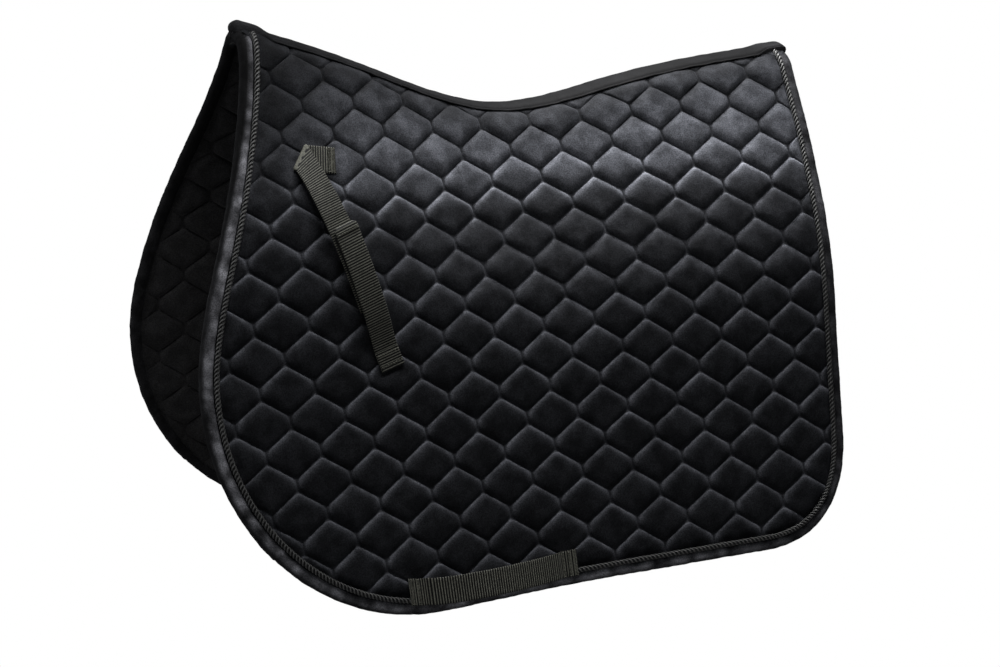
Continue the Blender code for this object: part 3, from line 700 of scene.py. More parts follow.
@dataclass
class QuiltPattern:
    """The hexagonal quilting of a flap: pointed hexagons in rows shifted by half a width."""

    sizes: QuiltSizes
    rim: PadEdge

    UPPER_SIDES = (0, 5)
    UPRIGHT_SIDES = (1, 4)
    LOWER_SIDES = (2, 3)
    ROWS = range(-14, 12)
    COLUMNS = range(-3, 17)
    MERGE_MICRONS = 5

    # A painted highlight below the upper seams and a painted shade above the lower ones fade over these.
    HIGHLIGHT_START = 0.0009
    HIGHLIGHT_FADE = 0.0018
    UPRIGHT_FADE = 0.0020
    SHADE_FADE = 0.0030

    NEAR_DOWN = (-0.05, 0.60)
    RIDGE_SPARE = 0.01
    LEAST_INSET = 0.0045
    LEAST_DOWN = 0.0040
    MOST_OUTSIDE = 0.004
    RIM_TUCK = 0.0028
    SPINE_TUCK = 0.0025

    def _corners(self) -> Array:
        """Work out the corners of one hexagon about its middle, from its top one round.

        Returns:
            Six points.
        """
        size = self.sizes
        half = size.width / 2
        top = size.row_pitch - size.side / 2
        corners = [(0, -top), (half, -size.side / 2), (half, size.side / 2)]
        return np.array(corners + [(0, top), (-half, size.side / 2), (-half, -size.side / 2)])

    def _border(self) -> Array:
        """Cut one hexagon's sides into even steps.

        Returns:
            Points round its border.
        """
        corners = self._corners()
        points = []
        for index, (start, end) in enumerate(zip(corners, np.roll(corners, -1, axis=0))):
            steps = self.sizes.side_steps if index in self.UPRIGHT_SIDES else self.sizes.slant_steps
            points.extend(start + (end - start) * t for t in np.arange(steps) / steps)
        return np.array(points)

    def _depths(self, local: Array) -> Array:
        """Measure points of a hexagon from each of its six sides, square to the side.

        Args:
            local: points about the hexagon's middle.

        Returns:
            Six distances for each point.
        """
        corners = self._corners()
        ends = np.roll(corners, -1, axis=0)
        inward = unit(np.stack([corners[:, 1] - ends[:, 1], ends[:, 0] - corners[:, 0]], axis=-1))
        return ((local[:, None] - corners[None]) * inward[None]).sum(axis=-1)

    def _splay(self, local: Array) -> tuple[Array, Array]:
        """Work out where a highlight and where shade are painted on the pile.

        Both fade out with the distance from a seam: a painted highlight below the two upper sides,
        though not in the corners at the upright ones, and a painted shade above the two lower sides.

        Args:
            local: points about the hexagon's middle.

        Returns:
            For each point the painted highlight and the painted shade, from 0 to 1.
        """
        depth = self._depths(local)
        upper = depth[:, self.UPPER_SIDES].min(axis=1)
        lower = depth[:, self.LOWER_SIDES].min(axis=1)
        beside = np.clip(depth[:, self.UPRIGHT_SIDES].min(axis=1) / self.UPRIGHT_FADE, 0, 1)
        painted_amount = np.exp(-np.maximum(upper - self.HIGHLIGHT_START, 0.0) / self.HIGHLIGHT_FADE) * beside
        return painted_amount, np.exp(-np.maximum(lower, 0.0) / self.SHADE_FADE)

    def _rise(self, local: Array) -> Array:
        """Work out the pillow's rise, 0 on a hexagon's sides and 1 in its middle.

        A steep shoulder follows the distance from the nearest side, rounded where two sides meet,
        and a wide slope is the product of one fade for each side.

        Args:
            local: points about the hexagon's middle.

        Returns:
            The rise of each point.
        """
        size = self.sizes
        depth = self._depths(local)
        near = -size.corner * np.log(np.exp(-depth / size.corner).sum(axis=1))
        near = np.maximum(near, 0.0)
        wide = (1 - np.exp(-np.maximum(depth, 0.0) / size.slope)).prod(axis=1)
        return size.shoulder_share * (1 - np.exp(-near / size.shoulder)) + (1 - size.shoulder_share) * wide

    def _net(self, per_ring: int) -> Array:
        """Join one hexagon's rings by quads, and fan its middle out to every second point.

        Args:
            per_ring: number of points in a ring.

        Returns:
            Four point numbers for each quad.
        """
        rings = len(self.sizes.rings)
        last, middle = (rings - 1) * per_ring, rings * per_ring
        fan = np.arange(0, per_ring, 2)
        corners = [last + fan, last + fan + 1, last + (fan + 2) % per_ring, np.full(len(fan), middle)]
        return np.vstack([grid_faces(rings, per_ring), np.stack(corners, axis=-1)])

    def mesh(self) -> QuiltMesh:
        """Lay out all the hexagons that meet the flap.

        Every hexagon is the same net of rings at its own place, a little fuller or flatter than
        its neighbours. The whole is tilted, and points that hexagons share are made one.

        Returns:
            The quilting, trimmed to the flap.
        """
        size = self.sizes
        border = self._border()
        local = np.vstack([border * (1 - value) for value in size.rings] + [np.zeros((1, 2))])
        ring = np.concatenate([np.repeat(size.rings, len(border)), [1.0]])
        rise = self._rise(local)
        splay, shade = self._splay(local)
        net = self._net(len(border))
        rng = np.random.default_rng(SEED)
        points, values, quads = [], [], []
        for row in self.ROWS:
            for column in self.COLUMNS:
                top = np.array([size.width * (column + (row % 2) / 2), size.row_pitch * row])
                centre = top + (0, size.row_pitch - size.side / 2)
                fullness = rng.uniform(-1, 1, 2)[1]
                quads.append(net + len(points) * len(local))
                points.append(centre + local)
                values.append(np.stack([ring, rise * (1 + size.fullness * fullness), splay, shade]))
        tilt = math.radians(size.tilt)
        turn = np.array([[math.cos(tilt), math.sin(tilt)], [-math.sin(tilt), math.cos(tilt)]])
        flat = np.vstack(points) @ turn.T + size.start
        keys = np.round(flat * 1e6 / self.MERGE_MICRONS).astype(np.int64)
        _, first, index = np.unique(keys, axis=0, return_index=True, return_inverse=True)
        along = flat[first, 0]
        ridge = SURFACE.ridge(np.clip(along, PAD.front - self.RIDGE_SPARE, PAD.rear + self.RIDGE_SPARE))
        down = flat[first, 1] + ridge
        near = (down > self.NEAR_DOWN[0]) & (down < self.NEAR_DOWN[1])
        inset = np.full(len(along), -1.0)
        inset[near] = self.rim.inset_of(along[near], down[near])
        quads = index.reshape(-1)[np.vstack(quads)]
        return self._trimmed(along, down, inset, np.concatenate(values, axis=1)[:, first], quads)

    def _trimmed(self, along: Array, down: Array, inset: Array, values: Array, quads: Array) -> QuiltMesh:
        """Drop what lies outside the flap, and pull what is left in under the binding.

        Args:
            along: places along the pad.
            down: distances down the flap.
            inset: distances in from the flap's edge.
            values: four rows: ring, rise, the painted highlight and the painted shade.
            quads: four point numbers for each quad.

        Returns:
            What is left of the quilting.
        """
        keep = (inset[quads].mean(axis=1) > self.LEAST_INSET) & (down[quads].mean(axis=1) > self.LEAST_DOWN)
        keep &= np.minimum(inset, down)[quads].min(axis=1) > -self.MOST_OUTSIDE
        used, index = np.unique(quads[keep], return_inverse=True)
        along, down, inset = along[used], down[used], inset[used]
        short = np.maximum(self.RIM_TUCK - inset, 0.0)
        along = along - np.sign(along) * short
        down = np.maximum(down, self.SPINE_TUCK)
        inset = np.maximum(inset, self.RIM_TUCK)
        return QuiltMesh(along, down, *values[:, used], inset, index.reshape(-1, 4))


class StrapPath:
    """Places of the billet strap and the girth loop on a flap."""

    BOW_SKEW = 0.75
    PRESS_BAND = (0.0008, 0.009)

    def __init__(self) -> None:
        """Work out the strap's line and the pad's bottom edge."""
        self.top = np.array([PAD.front + STRAP.top_setback, STRAP.top_depth])
        self.foot = np.array([PAD.front + STRAP.foot_setback, STRAP.foot_depth])
        self.length = float(np.linalg.norm(self.foot - self.top))
        self.way = (self.foot - self.top) / self.length
        rise = float(SURFACE.ridge(self.foot[0]) - SURFACE.ridge(self.top[0]))
        self.fall = rise / (self.foot[0] - self.top[0])
        even = self.even(self.foot - self.top)
        even /= np.linalg.norm(even)
        self.across = np.array([even[1], self.fall * even[1] - even[0]])
        self.fold = self.top - (0.0, STRAP.fold_rise)
        self.crease_half = np.array(STRAP.fold_half)
        self.hinge = 1 - STRAP.turn_under / self.length
        self.lower_layer = STRAP.sewn_bed + EDGE.clearance + STRAP.thickness / 2
        self.upper_layer = self.lower_layer + STRAP.thickness + EDGE.clearance
        self.fold_radius = (self.upper_layer - self.lower_layer) / 2
        self.fold_height = (self.upper_layer + self.lower_layer) / 2
        self.tab_step = STRAP.thickness + 2 * STRAP.patch_thickness + 3 * EDGE.clearance
        bottom = RIM.outline[RIM.outline[:, 1] < PAD.bulge_height / 2]
        self._bottom = bottom[np.argsort(bottom[:, 0])].T

    def even(self, step: Array) -> Array:
        """Return a step of flap coordinates as lengths along and square to the X axis."""
        step = np.asarray(step, float)
        return np.stack([step[..., 0], step[..., 1] - self.fall * step[..., 0]], axis=-1)

    def point(self, part: Array) -> Array:
        """Return points on the strap's middle line, at parts of the way from fold to foot."""
        return self.top + np.asarray(part, float)[..., None] * (self.foot - self.top)

    def upper_height(self, part: Array) -> Array:
        """Return the height of the upper tab's middle, a half sine wave skewed to its upper end."""
        share = np.clip(np.asarray(part, float) / self.hinge, 0, 1)
        return self.upper_layer + STRAP.bow * np.sin(np.pi * share ** self.BOW_SKEW)

    def lower_height(self, part: Array) -> Array:
        """Return the height of the lower tab's middle, which comes down to the foot's at its hinge."""
        t = smoothstep(part, STRAP.upper_end, self.hinge)
        return self.upper_height(part) + self.tab_step * (1 - t)

    def loop_line(self, part: Array) -> Array:
        """Return points on the girth loop's middle line, which follows the pad's bottom edge.

        Args:
            part: parts of the way from its front to its rear end.

        Returns:
            Points in flap coordinates.
        """
        x = PAD.front + STRAP.loop_setback + STRAP.loop_length * np.asarray(part, float)
        z = np.interp(x, *self._bottom) + STRAP.loop_gap + STRAP.width / 2
        return np.stack([x, SURFACE.down_at(x, z)], axis=-1)

    def pressed(self, along: Array, down: Array) -> Array:
        """Return how far the quilting is sewn flat under webbing, 0 to 1.

        Args:
            along: places along the pad.
            down: distances down the flap.

        Returns:
            Shares, 1 under the webbing's sewn ends.
        """
        points = np.stack([along, down], axis=-1)
        result = np.zeros(len(points))
        start = self.fold - self.crease_half
        beds = [(start, np.array(STRAP.sewn_top), 2 * self.crease_half)]
        corner = self.foot - STRAP.turn_under * self.way - self.across * STRAP.width / 2
        beds.append((corner, self.across * STRAP.width, self.way * STRAP.turn_under))
        sewn = STRAP.loop_sewn / STRAP.loop_length
        for first in (0.0, 1 - sewn):
            corner = self.loop_line(first) - (0.0, STRAP.width / 2)
            far = self.loop_line(first + sewn) - (0.0, STRAP.width / 2)
            beds.append((corner, far - corner, np.array([0.0, STRAP.width])))
        for corner, along_way, down_way in beds:
            shape = np.stack([along_way, down_way], axis=1)
            local = (points - corner) @ np.linalg.inv(shape).T
            reach = np.linalg.norm(shape, axis=0)
            outside = np.maximum(np.maximum(-local, local - 1), 0) * reach
            beyond = np.linalg.norm(outside, axis=1)
            result = np.maximum(result, 1 - smoothstep(beyond, *self.PRESS_BAND))
        return result


PATTERN = QuiltPattern(QUILT, RIM)
WEBBING_PATH = StrapPath()


# Materials

@dataclass(frozen=True)
class VelvetFinish:
    """Short pile cloth, with patches, grain and nap at their own scales.

    The mottle is how much the patches differ from the base. A painted-light attribute lightens the base
    by painted highlights and darkens it by painted shade, scaled by a gain of the finish. The specks are
    pairs of a noise's value and the grey it stands for.
    """

    base: Triple
    tint: Triple
    mottle: float
    bump: float
    sheen: float = 0.12
    sheen_roughness: float = 0.45
    splay: float = 0.0
    roughness: float = 0.75
    specular: float = 0.12
    patch_scale: float = 60.0
    nap_scale: float = 160.0
    soft_detail: float = 6.0
    grain_scale: float = 900.0
    grain_detail: float = 3.0
    patch_stops: Pair = (0.40, 0.62)
    specks: tuple[Pair, ...] = ((0.36, 0.35), (0.64, 1.7))
    speck_share: float = 0.55
    grain_height: float = 0.35
    nap_depth: float = 1.2 * MM


@dataclass(frozen=True)
class WebbingFinish:
    """Ribbed webbing or cord: the thread on the ribs and the black between them."""

    rib: Triple
    valley: Triple
    roughness: float = 0.55
    specular: float = 0.35
    sheen: float = 0.1
    rib_stops: Pair = (0.48, 0.80)
    fray_scale: float = 1300.0
    fray_detail: float = 2.0
    specks: tuple[Pair, ...] = ((0.32, 0.35), (0.66, 1.6))
    speck_share: float = 0.75
    bump: float = 0.35
    fray_depth: float = 0.3 * MM


@dataclass(frozen=True)
class BackdropFinish:
    """Plain floor that is clean white to the camera."""

    grey: float = 0.45
    roughness: float = 0.9


PILE = VelvetFinish(
    base=(0.028, 0.029, 0.033),
    tint=(0.72, 0.76, 0.88),
    mottle=0.32,
    bump=0.35,
    splay=7.5,
)
BINDING_PILE = VelvetFinish(
    base=(0.022, 0.022, 0.024),
    tint=(0.80, 0.82, 0.88),
    mottle=0.5,
    bump=0.5,
    splay=11.5,
)
SPINE_PILE = VelvetFinish(
    base=(0.0032, 0.0032, 0.0035),
    sheen=0.04,
    sheen_roughness=0.50,
    tint=(0.85, 0.86, 0.90),
    mottle=0.25,
    bump=0.1,
    splay=4.0,
)
LINING_CLOTH = VelvetFinish(
    base=(0.052, 0.051, 0.053),
    sheen=0.08,
    sheen_roughness=0.5,
    tint=(0.9, 0.9, 0.9),
    mottle=0.2,
    bump=0.1,
)
# On the cord the valley black is painted shade in the grooves between the strands.
YARN = WebbingFinish((0.220, 0.220, 0.216), (0.003, 0.003, 0.003), 0.40, 0.5)
RIBS = WebbingFinish((0.270, 0.270, 0.225), (0.004, 0.004, 0.004))
HOOKS = WebbingFinish((0.020, 0.020, 0.020), (0.006, 0.006, 0.006), 0.6, 0.3)
FLOOR_PAINT = BackdropFinish()
Finish = VelvetFinish | WebbingFinish


def set_inputs(tree: NodeTree, node: Node, inputs: dict[str | int, object]) -> None:
    """Link a node's inputs to sockets, or set their values.

    Args:
        tree: the node's tree.
        node: the node.
        inputs: a socket or a value for each input, by its name or number.
    """
    for key, value in inputs.items():
        if isinstance(value, NodeSocket):
            tree.links.new(value, node.inputs[key])
        else:
            node.inputs[key].default_value = value


def make_node(tree: NodeTree, kind: str, inputs: dict[str | int, object], **settings: str) -> Node:
    """Make a shader node.

    Args:
        tree: the tree that it goes into.
        kind: its kind, without the first words that all kinds share.
        inputs: its inputs, as for set_inputs.
        **settings: its settings by name.

    Returns:
        The node.
    """
    node = tree.nodes.new(f"ShaderNode{kind}")
    for key, value in settings.items():
        setattr(node, key, value)
    set_inputs(tree, node, inputs)
    return node


def white_to_camera(tree: NodeTree, output: Node, lit: NodeSocket, seen: NodeSocket) -> None:
    """Show one shader to the camera and let another meet the light.

    Args:
        tree: a material's or the world's nodes.
        output: its output node.
        lit: the shader that meets the light.
        seen: the shader that the camera sees.
    """
    camera_ray = make_node(tree, "LightPath", {}).outputs["Is Camera Ray"]
    mix = make_node(tree, "MixShader", {"Fac": camera_ray, 1: lit, 2: seen})
    set_inputs(tree, output, {"Surface": mix.outputs["Shader"]})


class Palette:
    """Makes the procedural materials, each once for all the pieces that share it."""

    @staticmethod
    def _new(name: str) -> tuple[Material, NodeTree, Node]:
        """Make a material with nodes.

        Args:
            name: its name.

        Returns:
            The material, its node tree and its shader.
        """
        material = bpy.data.materials.new(name)
        material.use_nodes = True
        return material, material.node_tree, material.node_tree.nodes["Principled BSDF"]

    @staticmethod
    def _noise(tree: NodeTree, scale: float, detail: float) -> NodeSocket:
        """Return a noise on Object coordinates, with some waves in a metre and some finer layers."""
        place = make_node(tree, "TexCoord", {}).outputs["Object"]
        return make_node(tree, "TexNoise", {"Scale": scale, "Detail": detail, "Vector": place}).outputs["Fac"]

    @staticmethod
    def _attribute(tree: NodeTree, name: str) -> NodeSocket:
        """Return a number that the mesh keeps for each point."""
        return make_node(tree, "Attribute", {}, attribute_name=name).outputs["Fac"]

    @staticmethod
    def _ramp(tree: NodeTree, source: NodeSocket, places: Pair, colours: tuple[Triple, Triple]) -> NodeSocket:
        """Blend from one colour to another as a value rises.

        Args:
            tree: the material's nodes.
            source: the value.
            places: the values at which the colours stand.
            colours: the two colours.

        Returns:
            The blended colour.
        """
        ramp = make_node(tree, "ValToRGB", {"Fac": source})
        for element, place, colour in zip(ramp.color_ramp.elements, places, colours):
            element.position = place
            element.color = (*colour, 1.0)
        return ramp.outputs["Color"]

    def _speckled(self, tree: NodeTree, colour: NodeSocket, grain: NodeSocket, finish: Finish) -> NodeSocket:
        """Multiply a colour by a grey that follows the grain, in the finish's share.

        Args:
            tree: the material's nodes.
            colour: the colour.
            grain: the grain's value.
            finish: the finish with the specks.

        Returns:
            The speckled colour.
        """
        places, greys = zip(*finish.specks)
        grey = self._ramp(tree, grain, places, tuple((grey,) * 3 for grey in greys))
        inputs = {"Factor": finish.speck_share, "A": colour, "B": grey}
        return make_node(tree, "Mix", inputs, data_type="RGBA", blend_type="MULTIPLY").outputs["Result"]

    @functools.cache
    def velvet(self, name: str, finish: VelvetFinish) -> Material:
        """Return short pile cloth, brushed lighter and darker in patches.

        The base is mottled by one noise and speckled by a finer one, and is then multiplied by one
        plus the painted-light attribute times the finish's gain: painted highlights and painted sheen
        lighten it, and painted shade, where the attribute is below 0, darkens it.

        Args:
            name: the material's name.
            finish: its colours and sheen.

        Returns:
            The material.
        """
        material, tree, shader = self._new(name)
        patches = self._noise(tree, finish.patch_scale, finish.soft_detail)
        grain = self._noise(tree, finish.grain_scale, finish.grain_detail)
        nap = self._noise(tree, finish.nap_scale, finish.soft_detail)
        base = np.array(finish.base)
        shades = (tuple(base * (1 - finish.mottle)), tuple(base * (1 + finish.mottle)))
        colour = self._speckled(tree, self._ramp(tree, patches, finish.patch_stops, shades), grain, finish)
        add = {"operation": "MULTIPLY_ADD"}
        # Painted light: painted highlights and sheen lighten the base colour, painted shade darkens it.
        painted_amount = make_node(tree, "Math", {0: self._attribute(tree, "splay"), 1: finish.splay, 2: 1.0}, **add)
        paler = make_node(tree, "VectorMath", {0: colour, "Scale": painted_amount.outputs[0]}, operation="SCALE")
        relief = make_node(tree, "Math", {0: grain, 1: finish.grain_height, 2: nap}, **add)
        inputs = {"Strength": finish.bump, "Distance": finish.nap_depth, "Height": relief.outputs[0]}
        bump = make_node(tree, "Bump", inputs)
        inputs = {
            "Base Color": paler.outputs["Vector"],
            "Roughness": finish.roughness,
            "Specular IOR Level": finish.specular,
            "Sheen Weight": finish.sheen,
            "Sheen Roughness": finish.sheen_roughness,
            "Sheen Tint": (*finish.tint, 1.0),
            "Normal": bump.outputs["Normal"],
        }
        set_inputs(tree, shader, inputs)
        return material

    @functools.cache
    def webbing(self, name: str, finish: WebbingFinish) -> Material:
        """Return woven thread, light on the ribs and dark between them, by the rib attribute.

        Args:
            name: the material's name.
            finish: its colours.

        Returns:
            The material.
        """
        material, tree, shader = self._new(name)
        fray = self._noise(tree, finish.fray_scale, finish.fray_detail)
        colours = (finish.valley, finish.rib)
        colour = self._ramp(tree, self._attribute(tree, "rib"), finish.rib_stops, colours)
        inputs = {"Strength": finish.bump, "Distance": finish.fray_depth, "Height": fray}
        bump = make_node(tree, "Bump", inputs)
        inputs = {
            "Base Color": self._speckled(tree, colour, fray, finish),
            "Roughness": finish.roughness,
            "Specular IOR Level": finish.specular,
            "Sheen Weight": finish.sheen,
            "Normal": bump.outputs["Normal"],
        }
        set_inputs(tree, shader, inputs)
        return material

    def backdrop(self, name: str, finish: BackdropFinish) -> Material:
        """Return the floor's material: plain pale, and clean white to the camera.

        Args:
            name: the material's name.
            finish: its grey.

        Returns:
            The material.
        """
        material, tree, shader = self._new(name)
        set_inputs(tree, shader, {"Base Color": (*(finish.grey,) * 3, 1.0), "Roughness": finish.roughness})
        glow = make_node(tree, "Emission", {"Strength": 1.0}).outputs["Emission"]
        white_to_camera(tree, tree.nodes["Material Output"], shader.outputs["BSDF"], glow)
        return material


# Pieces

@dataclass(frozen=True)
class ShellPaintedLight:
    """The painted light of the velvet shells, by place: painted sheen, highlights and shade.

    A band is the pair of places between which a share fades. Most bands are of the depth under the
    ridge's dip, and the along bands and the down bands say so. The front is counted as lying a
    little higher than it does. The back share is painted sheen over the back, the below_seams, turn
    and side shares are painted highlights below the hexagons' upper seams, the front loss is painted
    shade at the front's top, and the seam share is painted on the stitched points.
    """

    front_along: Pair = (-0.25, -0.16)
    front_rise: float = 0.020
    neck_along: Pair = (-0.20, -0.03)
    back: float = 0.56
    back_band: Pair = (0.062, 0.125)
    back_front_loss: float = 0.9
    back_at_spine: float = 0.08
    back_down: Pair = (0.024, 0.074)
    back_neck_loss: float = 0.8
    back_neck_band: Pair = (-0.040, 0.060)
    back_seam_loss: float = 0.55
    back_seam_power: float = 0.25
    back_shade_loss: float = 0.65
    front_loss: float = 0.07
    front_down: Pair = (0.075, 0.135)
    below_seams: float = 0.10
    below_seams_back_loss: float = 0.16
    below_seams_band: Pair = (-0.020, 0.060)
    turn: float = 1.3
    turn_depth: float = 0.095
    turn_reach: float = 0.030
    turn_front_loss: float = 0.4
    side: float = 0.95
    side_down: Pair = (0.15, 0.26)
    side_front_loss: float = 0.3
    seam: float = 0.16
    seam_back_loss: float = 0.22
    seam_band: Pair = (0.020, 0.100)


def read_vectors(mesh: Mesh, key: str) -> Array:
    """Read three numbers for each vertex of a mesh.

    Args:
        mesh: the mesh.
        key: "co" for places or "normal" for normals.

    Returns:
        An array with a row for each vertex.
    """
    values = np.empty(len(mesh.vertices) * 3)
    mesh.vertices.foreach_get(key, values)
    return values.reshape(-1, 3)


@dataclass
class QuiltedPanel:
    """Makes the quilted cloths of the flaps, which share one cut pattern."""

    palette: Palette
    lay: ShellPaintedLight = ShellPaintedLight()
    cut: QuiltMesh = field(default_factory=PATTERN.mesh)
    inflated: Array | None = None

    CORD_BAND = (0.0022, 0.0085)
    SPINE_BAND = (-0.001, 0.007)
    SEWN_MARGIN = 0.003
    FLAT_MARGIN = 0.009
    SEWN_SHARE = 0.3
    PRESSED_HEIGHT = 0.0012
    CREASE = 0.75

    FRAMES = 20
    PRESSURE = 60.0
    MOST_MOVE = 1.5 * MM

    PUCKER_WAVE = 0.0075
    PUCKER_HEIGHT = 0.00010
    SWELL_WAVE = 0.050
    SWELL_HEIGHT = 0.00035
    SHELL_GROOVE = 0.0006
    LINING_GROOVE = 0.0004
    GROOVE_FADE = 0.03
    PUCKER_FADE = 0.16
    PUCKER_BAND = (0.0, 0.06)
    SWELL_BAND = (0.1, 0.6)

    LINING_SEAM = 0.0010
    LINING_CROWN = -0.0022

    def _relief(self, seam: float, crown: float, bed: float, spine: float) -> Array:
        """Work out the quilting's relief: its pillows, and the margins pressed flat.

        The height goes from the seam's to the crown's with the pillow's rise, fades to the bed's
        towards the cord, and to the spine's under the band.

        Args:
            seam: height of the seams.
            crown: height of the pillows' middles.
            bed: height beside the cord.
            spine: height under the spine band.

        Returns:
            The height of each point.
        """
        cut = self.cut
        height = seam + (crown - seam) * cut.rise
        edge = smoothstep(cut.inset, *(CORD_INSET + reach for reach in self.CORD_BAND))
        top = smoothstep(cut.down, *(EDGE.spine_half_width + reach for reach in self.SPINE_BAND))
        height = bed + (height - bed) * edge
        return spine + (height - spine) * top

    def _splay(self) -> Array:
        """Work out the shells' painted light.

        A painted sheen lies over the back, and painted highlights lie on the flap's hanging side below
        the hexagons' upper seams, most of all where the flap turns down; painted shade lies above the
        lower seams and at the front's top. The stitched points have a value of their own: painted dark
        near the back and a little paler lower down.

        Returns:
            A share for each point, below 0 where shade is painted.
        """
        cut, lay = self.cut, self.lay
        front = 1 - smoothstep(cut.along, *lay.front_along)
        neck = 1 - smoothstep(cut.along, *lay.neck_along)
        depth = cut.down - SURFACE.ridge(cut.along) + PAD.dip_height - lay.front_rise * front
        upper = lay.back * (1 - smoothstep(depth, *lay.back_band)) * (1 - lay.back_front_loss * front)
        upper *= lay.back_at_spine + (1 - lay.back_at_spine) * smoothstep(cut.down, *lay.back_down)
        upper *= 1 - lay.back_neck_loss * neck * (1 - smoothstep(depth, *lay.back_neck_band))
        upper *= 1 - lay.back_seam_loss * cut.splay ** lay.back_seam_power
        upper -= lay.front_loss * front * (1 - smoothstep(cut.down, *lay.front_down))
        below = 1 - smoothstep(depth, *lay.below_seams_band)
        below = lay.below_seams - lay.below_seams_back_loss * below * (1 - front)
        turn = np.exp(-((depth - lay.turn_depth) / lay.turn_reach) ** 2)
        below += lay.turn * turn * (1 - lay.turn_front_loss * front)
        below += lay.side * smoothstep(cut.down, *lay.side_down) * (1 - lay.side_front_loss * front)
        painted_amount = upper * (1 - lay.back_shade_loss * cut.shade) + cut.splay * below
        seam = lay.seam - lay.seam_back_loss * (1 - smoothstep(depth, *lay.seam_band))
        return np.where(cut.ring == 0, seam, painted_amount)

    def _object(self, name: str, height: Array, side: Side, material: Material) -> Object:
        """Make the panel as a coarse mesh, creased on its seams.

        Args:
            name: its name.
            height: the height of each point.
            side: which flap.
            material: its material.

        Returns:
            The new object.
        """
        cut = self.cut
        points = SURFACE.place(cut.along, cut.down, height, side)
        quads = cut.quads if side is Side.RIGHT else cut.quads[:, ::-1]
        # This attribute carries the pile's painted sheen, painted highlights and painted shade.
        piece = make_piece(name, points, quads, material, {"seam": cut.ring, "splay": self._splay()})
        mesh = piece.data
        ends = np.empty(len(mesh.edges) * 2, np.int32)
        mesh.edges.foreach_get("vertices", ends)
        on_seam = (cut.ring[ends.reshape(-1, 2)] == 0).all(axis=1)
        crease = mesh.attributes.new("crease_edge", "FLOAT", "EDGE")
        crease.data.foreach_set("value", on_seam.astype(np.float32) * self.CREASE)
        return piece

    def _inflate(self, piece: Object) -> Array:
        """Blow air in under the cloth, which is held at its seams and margins.

        The pressure is the same all over and there is no gravity. How far each point moves is
        rounded off to a most by a hyperbolic tangent.

        Args:
            piece: the coarse panel.

        Returns:
            Each point's move.
        """
        cut = self.cut
        start = read_vectors(piece.data, "co")
        held = (cut.ring == 0) | (cut.inset < CORD_INSET + self.SEWN_MARGIN)
        held |= cut.down < EDGE.spine_half_width + self.SEWN_MARGIN
        held |= WEBBING_PATH.pressed(cut.along, cut.down) > self.SEWN_SHARE
        group = piece.vertex_groups.new(name="sewn")
        group.add(np.nonzero(held)[0].tolist(), 1.0, "REPLACE")
        cloth = piece.modifiers.new("Cloth", "CLOTH")
        settings = cloth.settings
        settings.quality = 4
        settings.mass = 0.02
        settings.tension_stiffness = 3.0
        settings.compression_stiffness = 3.0
        settings.shear_stiffness = 2.0
        settings.bending_stiffness = 0.02
        settings.tension_damping = 5.0
        settings.air_damping = 2.0
        settings.vertex_group_mass = group.name
        settings.pin_stiffness = 1.0
        settings.use_pressure = True
        settings.uniform_pressure_force = self.PRESSURE
        settings.effector_weights.gravity = 0.0
        settings.shrink_min = -0.03
        cloth.collision_settings.use_collision = False
        cloth.point_cache.frame_start = 1
        cloth.point_cache.frame_end = self.FRAMES
        scene = bpy.context.scene
        for frame in range(1, self.FRAMES + 1):
            scene.frame_set(frame)
        evaluated = piece.evaluated_get(bpy.context.evaluated_depsgraph_get())
        move = read_vectors(evaluated.data, "co") - start
        piece.modifiers.remove(cloth)
        scene.frame_set(1)
        length = np.linalg.norm(move, axis=1)
        LOG.info("cloth moved %.1f mm at most, %.2f mm on average", length.max() / MM, length.mean() / MM)
        most = self.MOST_MOVE
        return move * (most * np.tanh(length / most) / np.maximum(length, TINY))[:, None]

    def _refine(self, piece: Object, groove: float) -> None:
        """Subdivide the panel once, then cut its seams and raise puckers beside them.

        Each point moves along its normal: down by a groove that fades out from the seam, up by a
        fine noise beside the seam, and by a long one over the pillow.

        Args:
            piece: the coarse panel.
            groove: the seams' depth.
        """
        modifier = piece.modifiers.new("Subdivision", "SUBSURF")
        modifier.levels = modifier.render_levels = 1
        depsgraph = bpy.context.evaluated_depsgraph_get()
        mesh = bpy.data.meshes.new_from_object(piece.evaluated_get(depsgraph))
        piece.modifiers.clear()
        old = piece.data
        piece.data = mesh
        bpy.data.meshes.remove(old)
        points = read_vectors(mesh, "co")
        ring = np.empty(len(points))
        mesh.attributes["seam"].data.foreach_get("value", ring)
        flat = points.copy()
        flat[:, 1] = np.abs(flat[:, 1])
        puckers = Noise(SEED + 3, self.PUCKER_WAVE).at(flat)
        swell = Noise(SEED + 4, self.SWELL_WAVE).at(flat)
        beside = np.exp(-ring / self.PUCKER_FADE) * smoothstep(ring, *self.PUCKER_BAND)
        move = -groove * np.exp(-ring / self.GROOVE_FADE)
        move += self.PUCKER_HEIGHT * puckers * beside
        move += self.SWELL_HEIGHT * swell * smoothstep(ring, *self.SWELL_BAND)
        points += read_vectors(mesh, "normal") * move[:, None]
        mesh.vertices.foreach_set("co", points.ravel())
        mesh.update()
        mesh.shade_smooth()

    def _filled(self, piece: Object, side: Side) -> Array:
        """Work out how far a shell's filling pushes each point out.

        The first shell is blown up, and the other takes its moves mirrored.

        Args:
            piece: the coarse shell.
            side: which flap.

        Returns:
            Each point's move.
        """
        mirror = (1, side.value, 1)
        if self.inflated is None:
            self.inflated = self._inflate(piece) * mirror
        return self.inflated * mirror

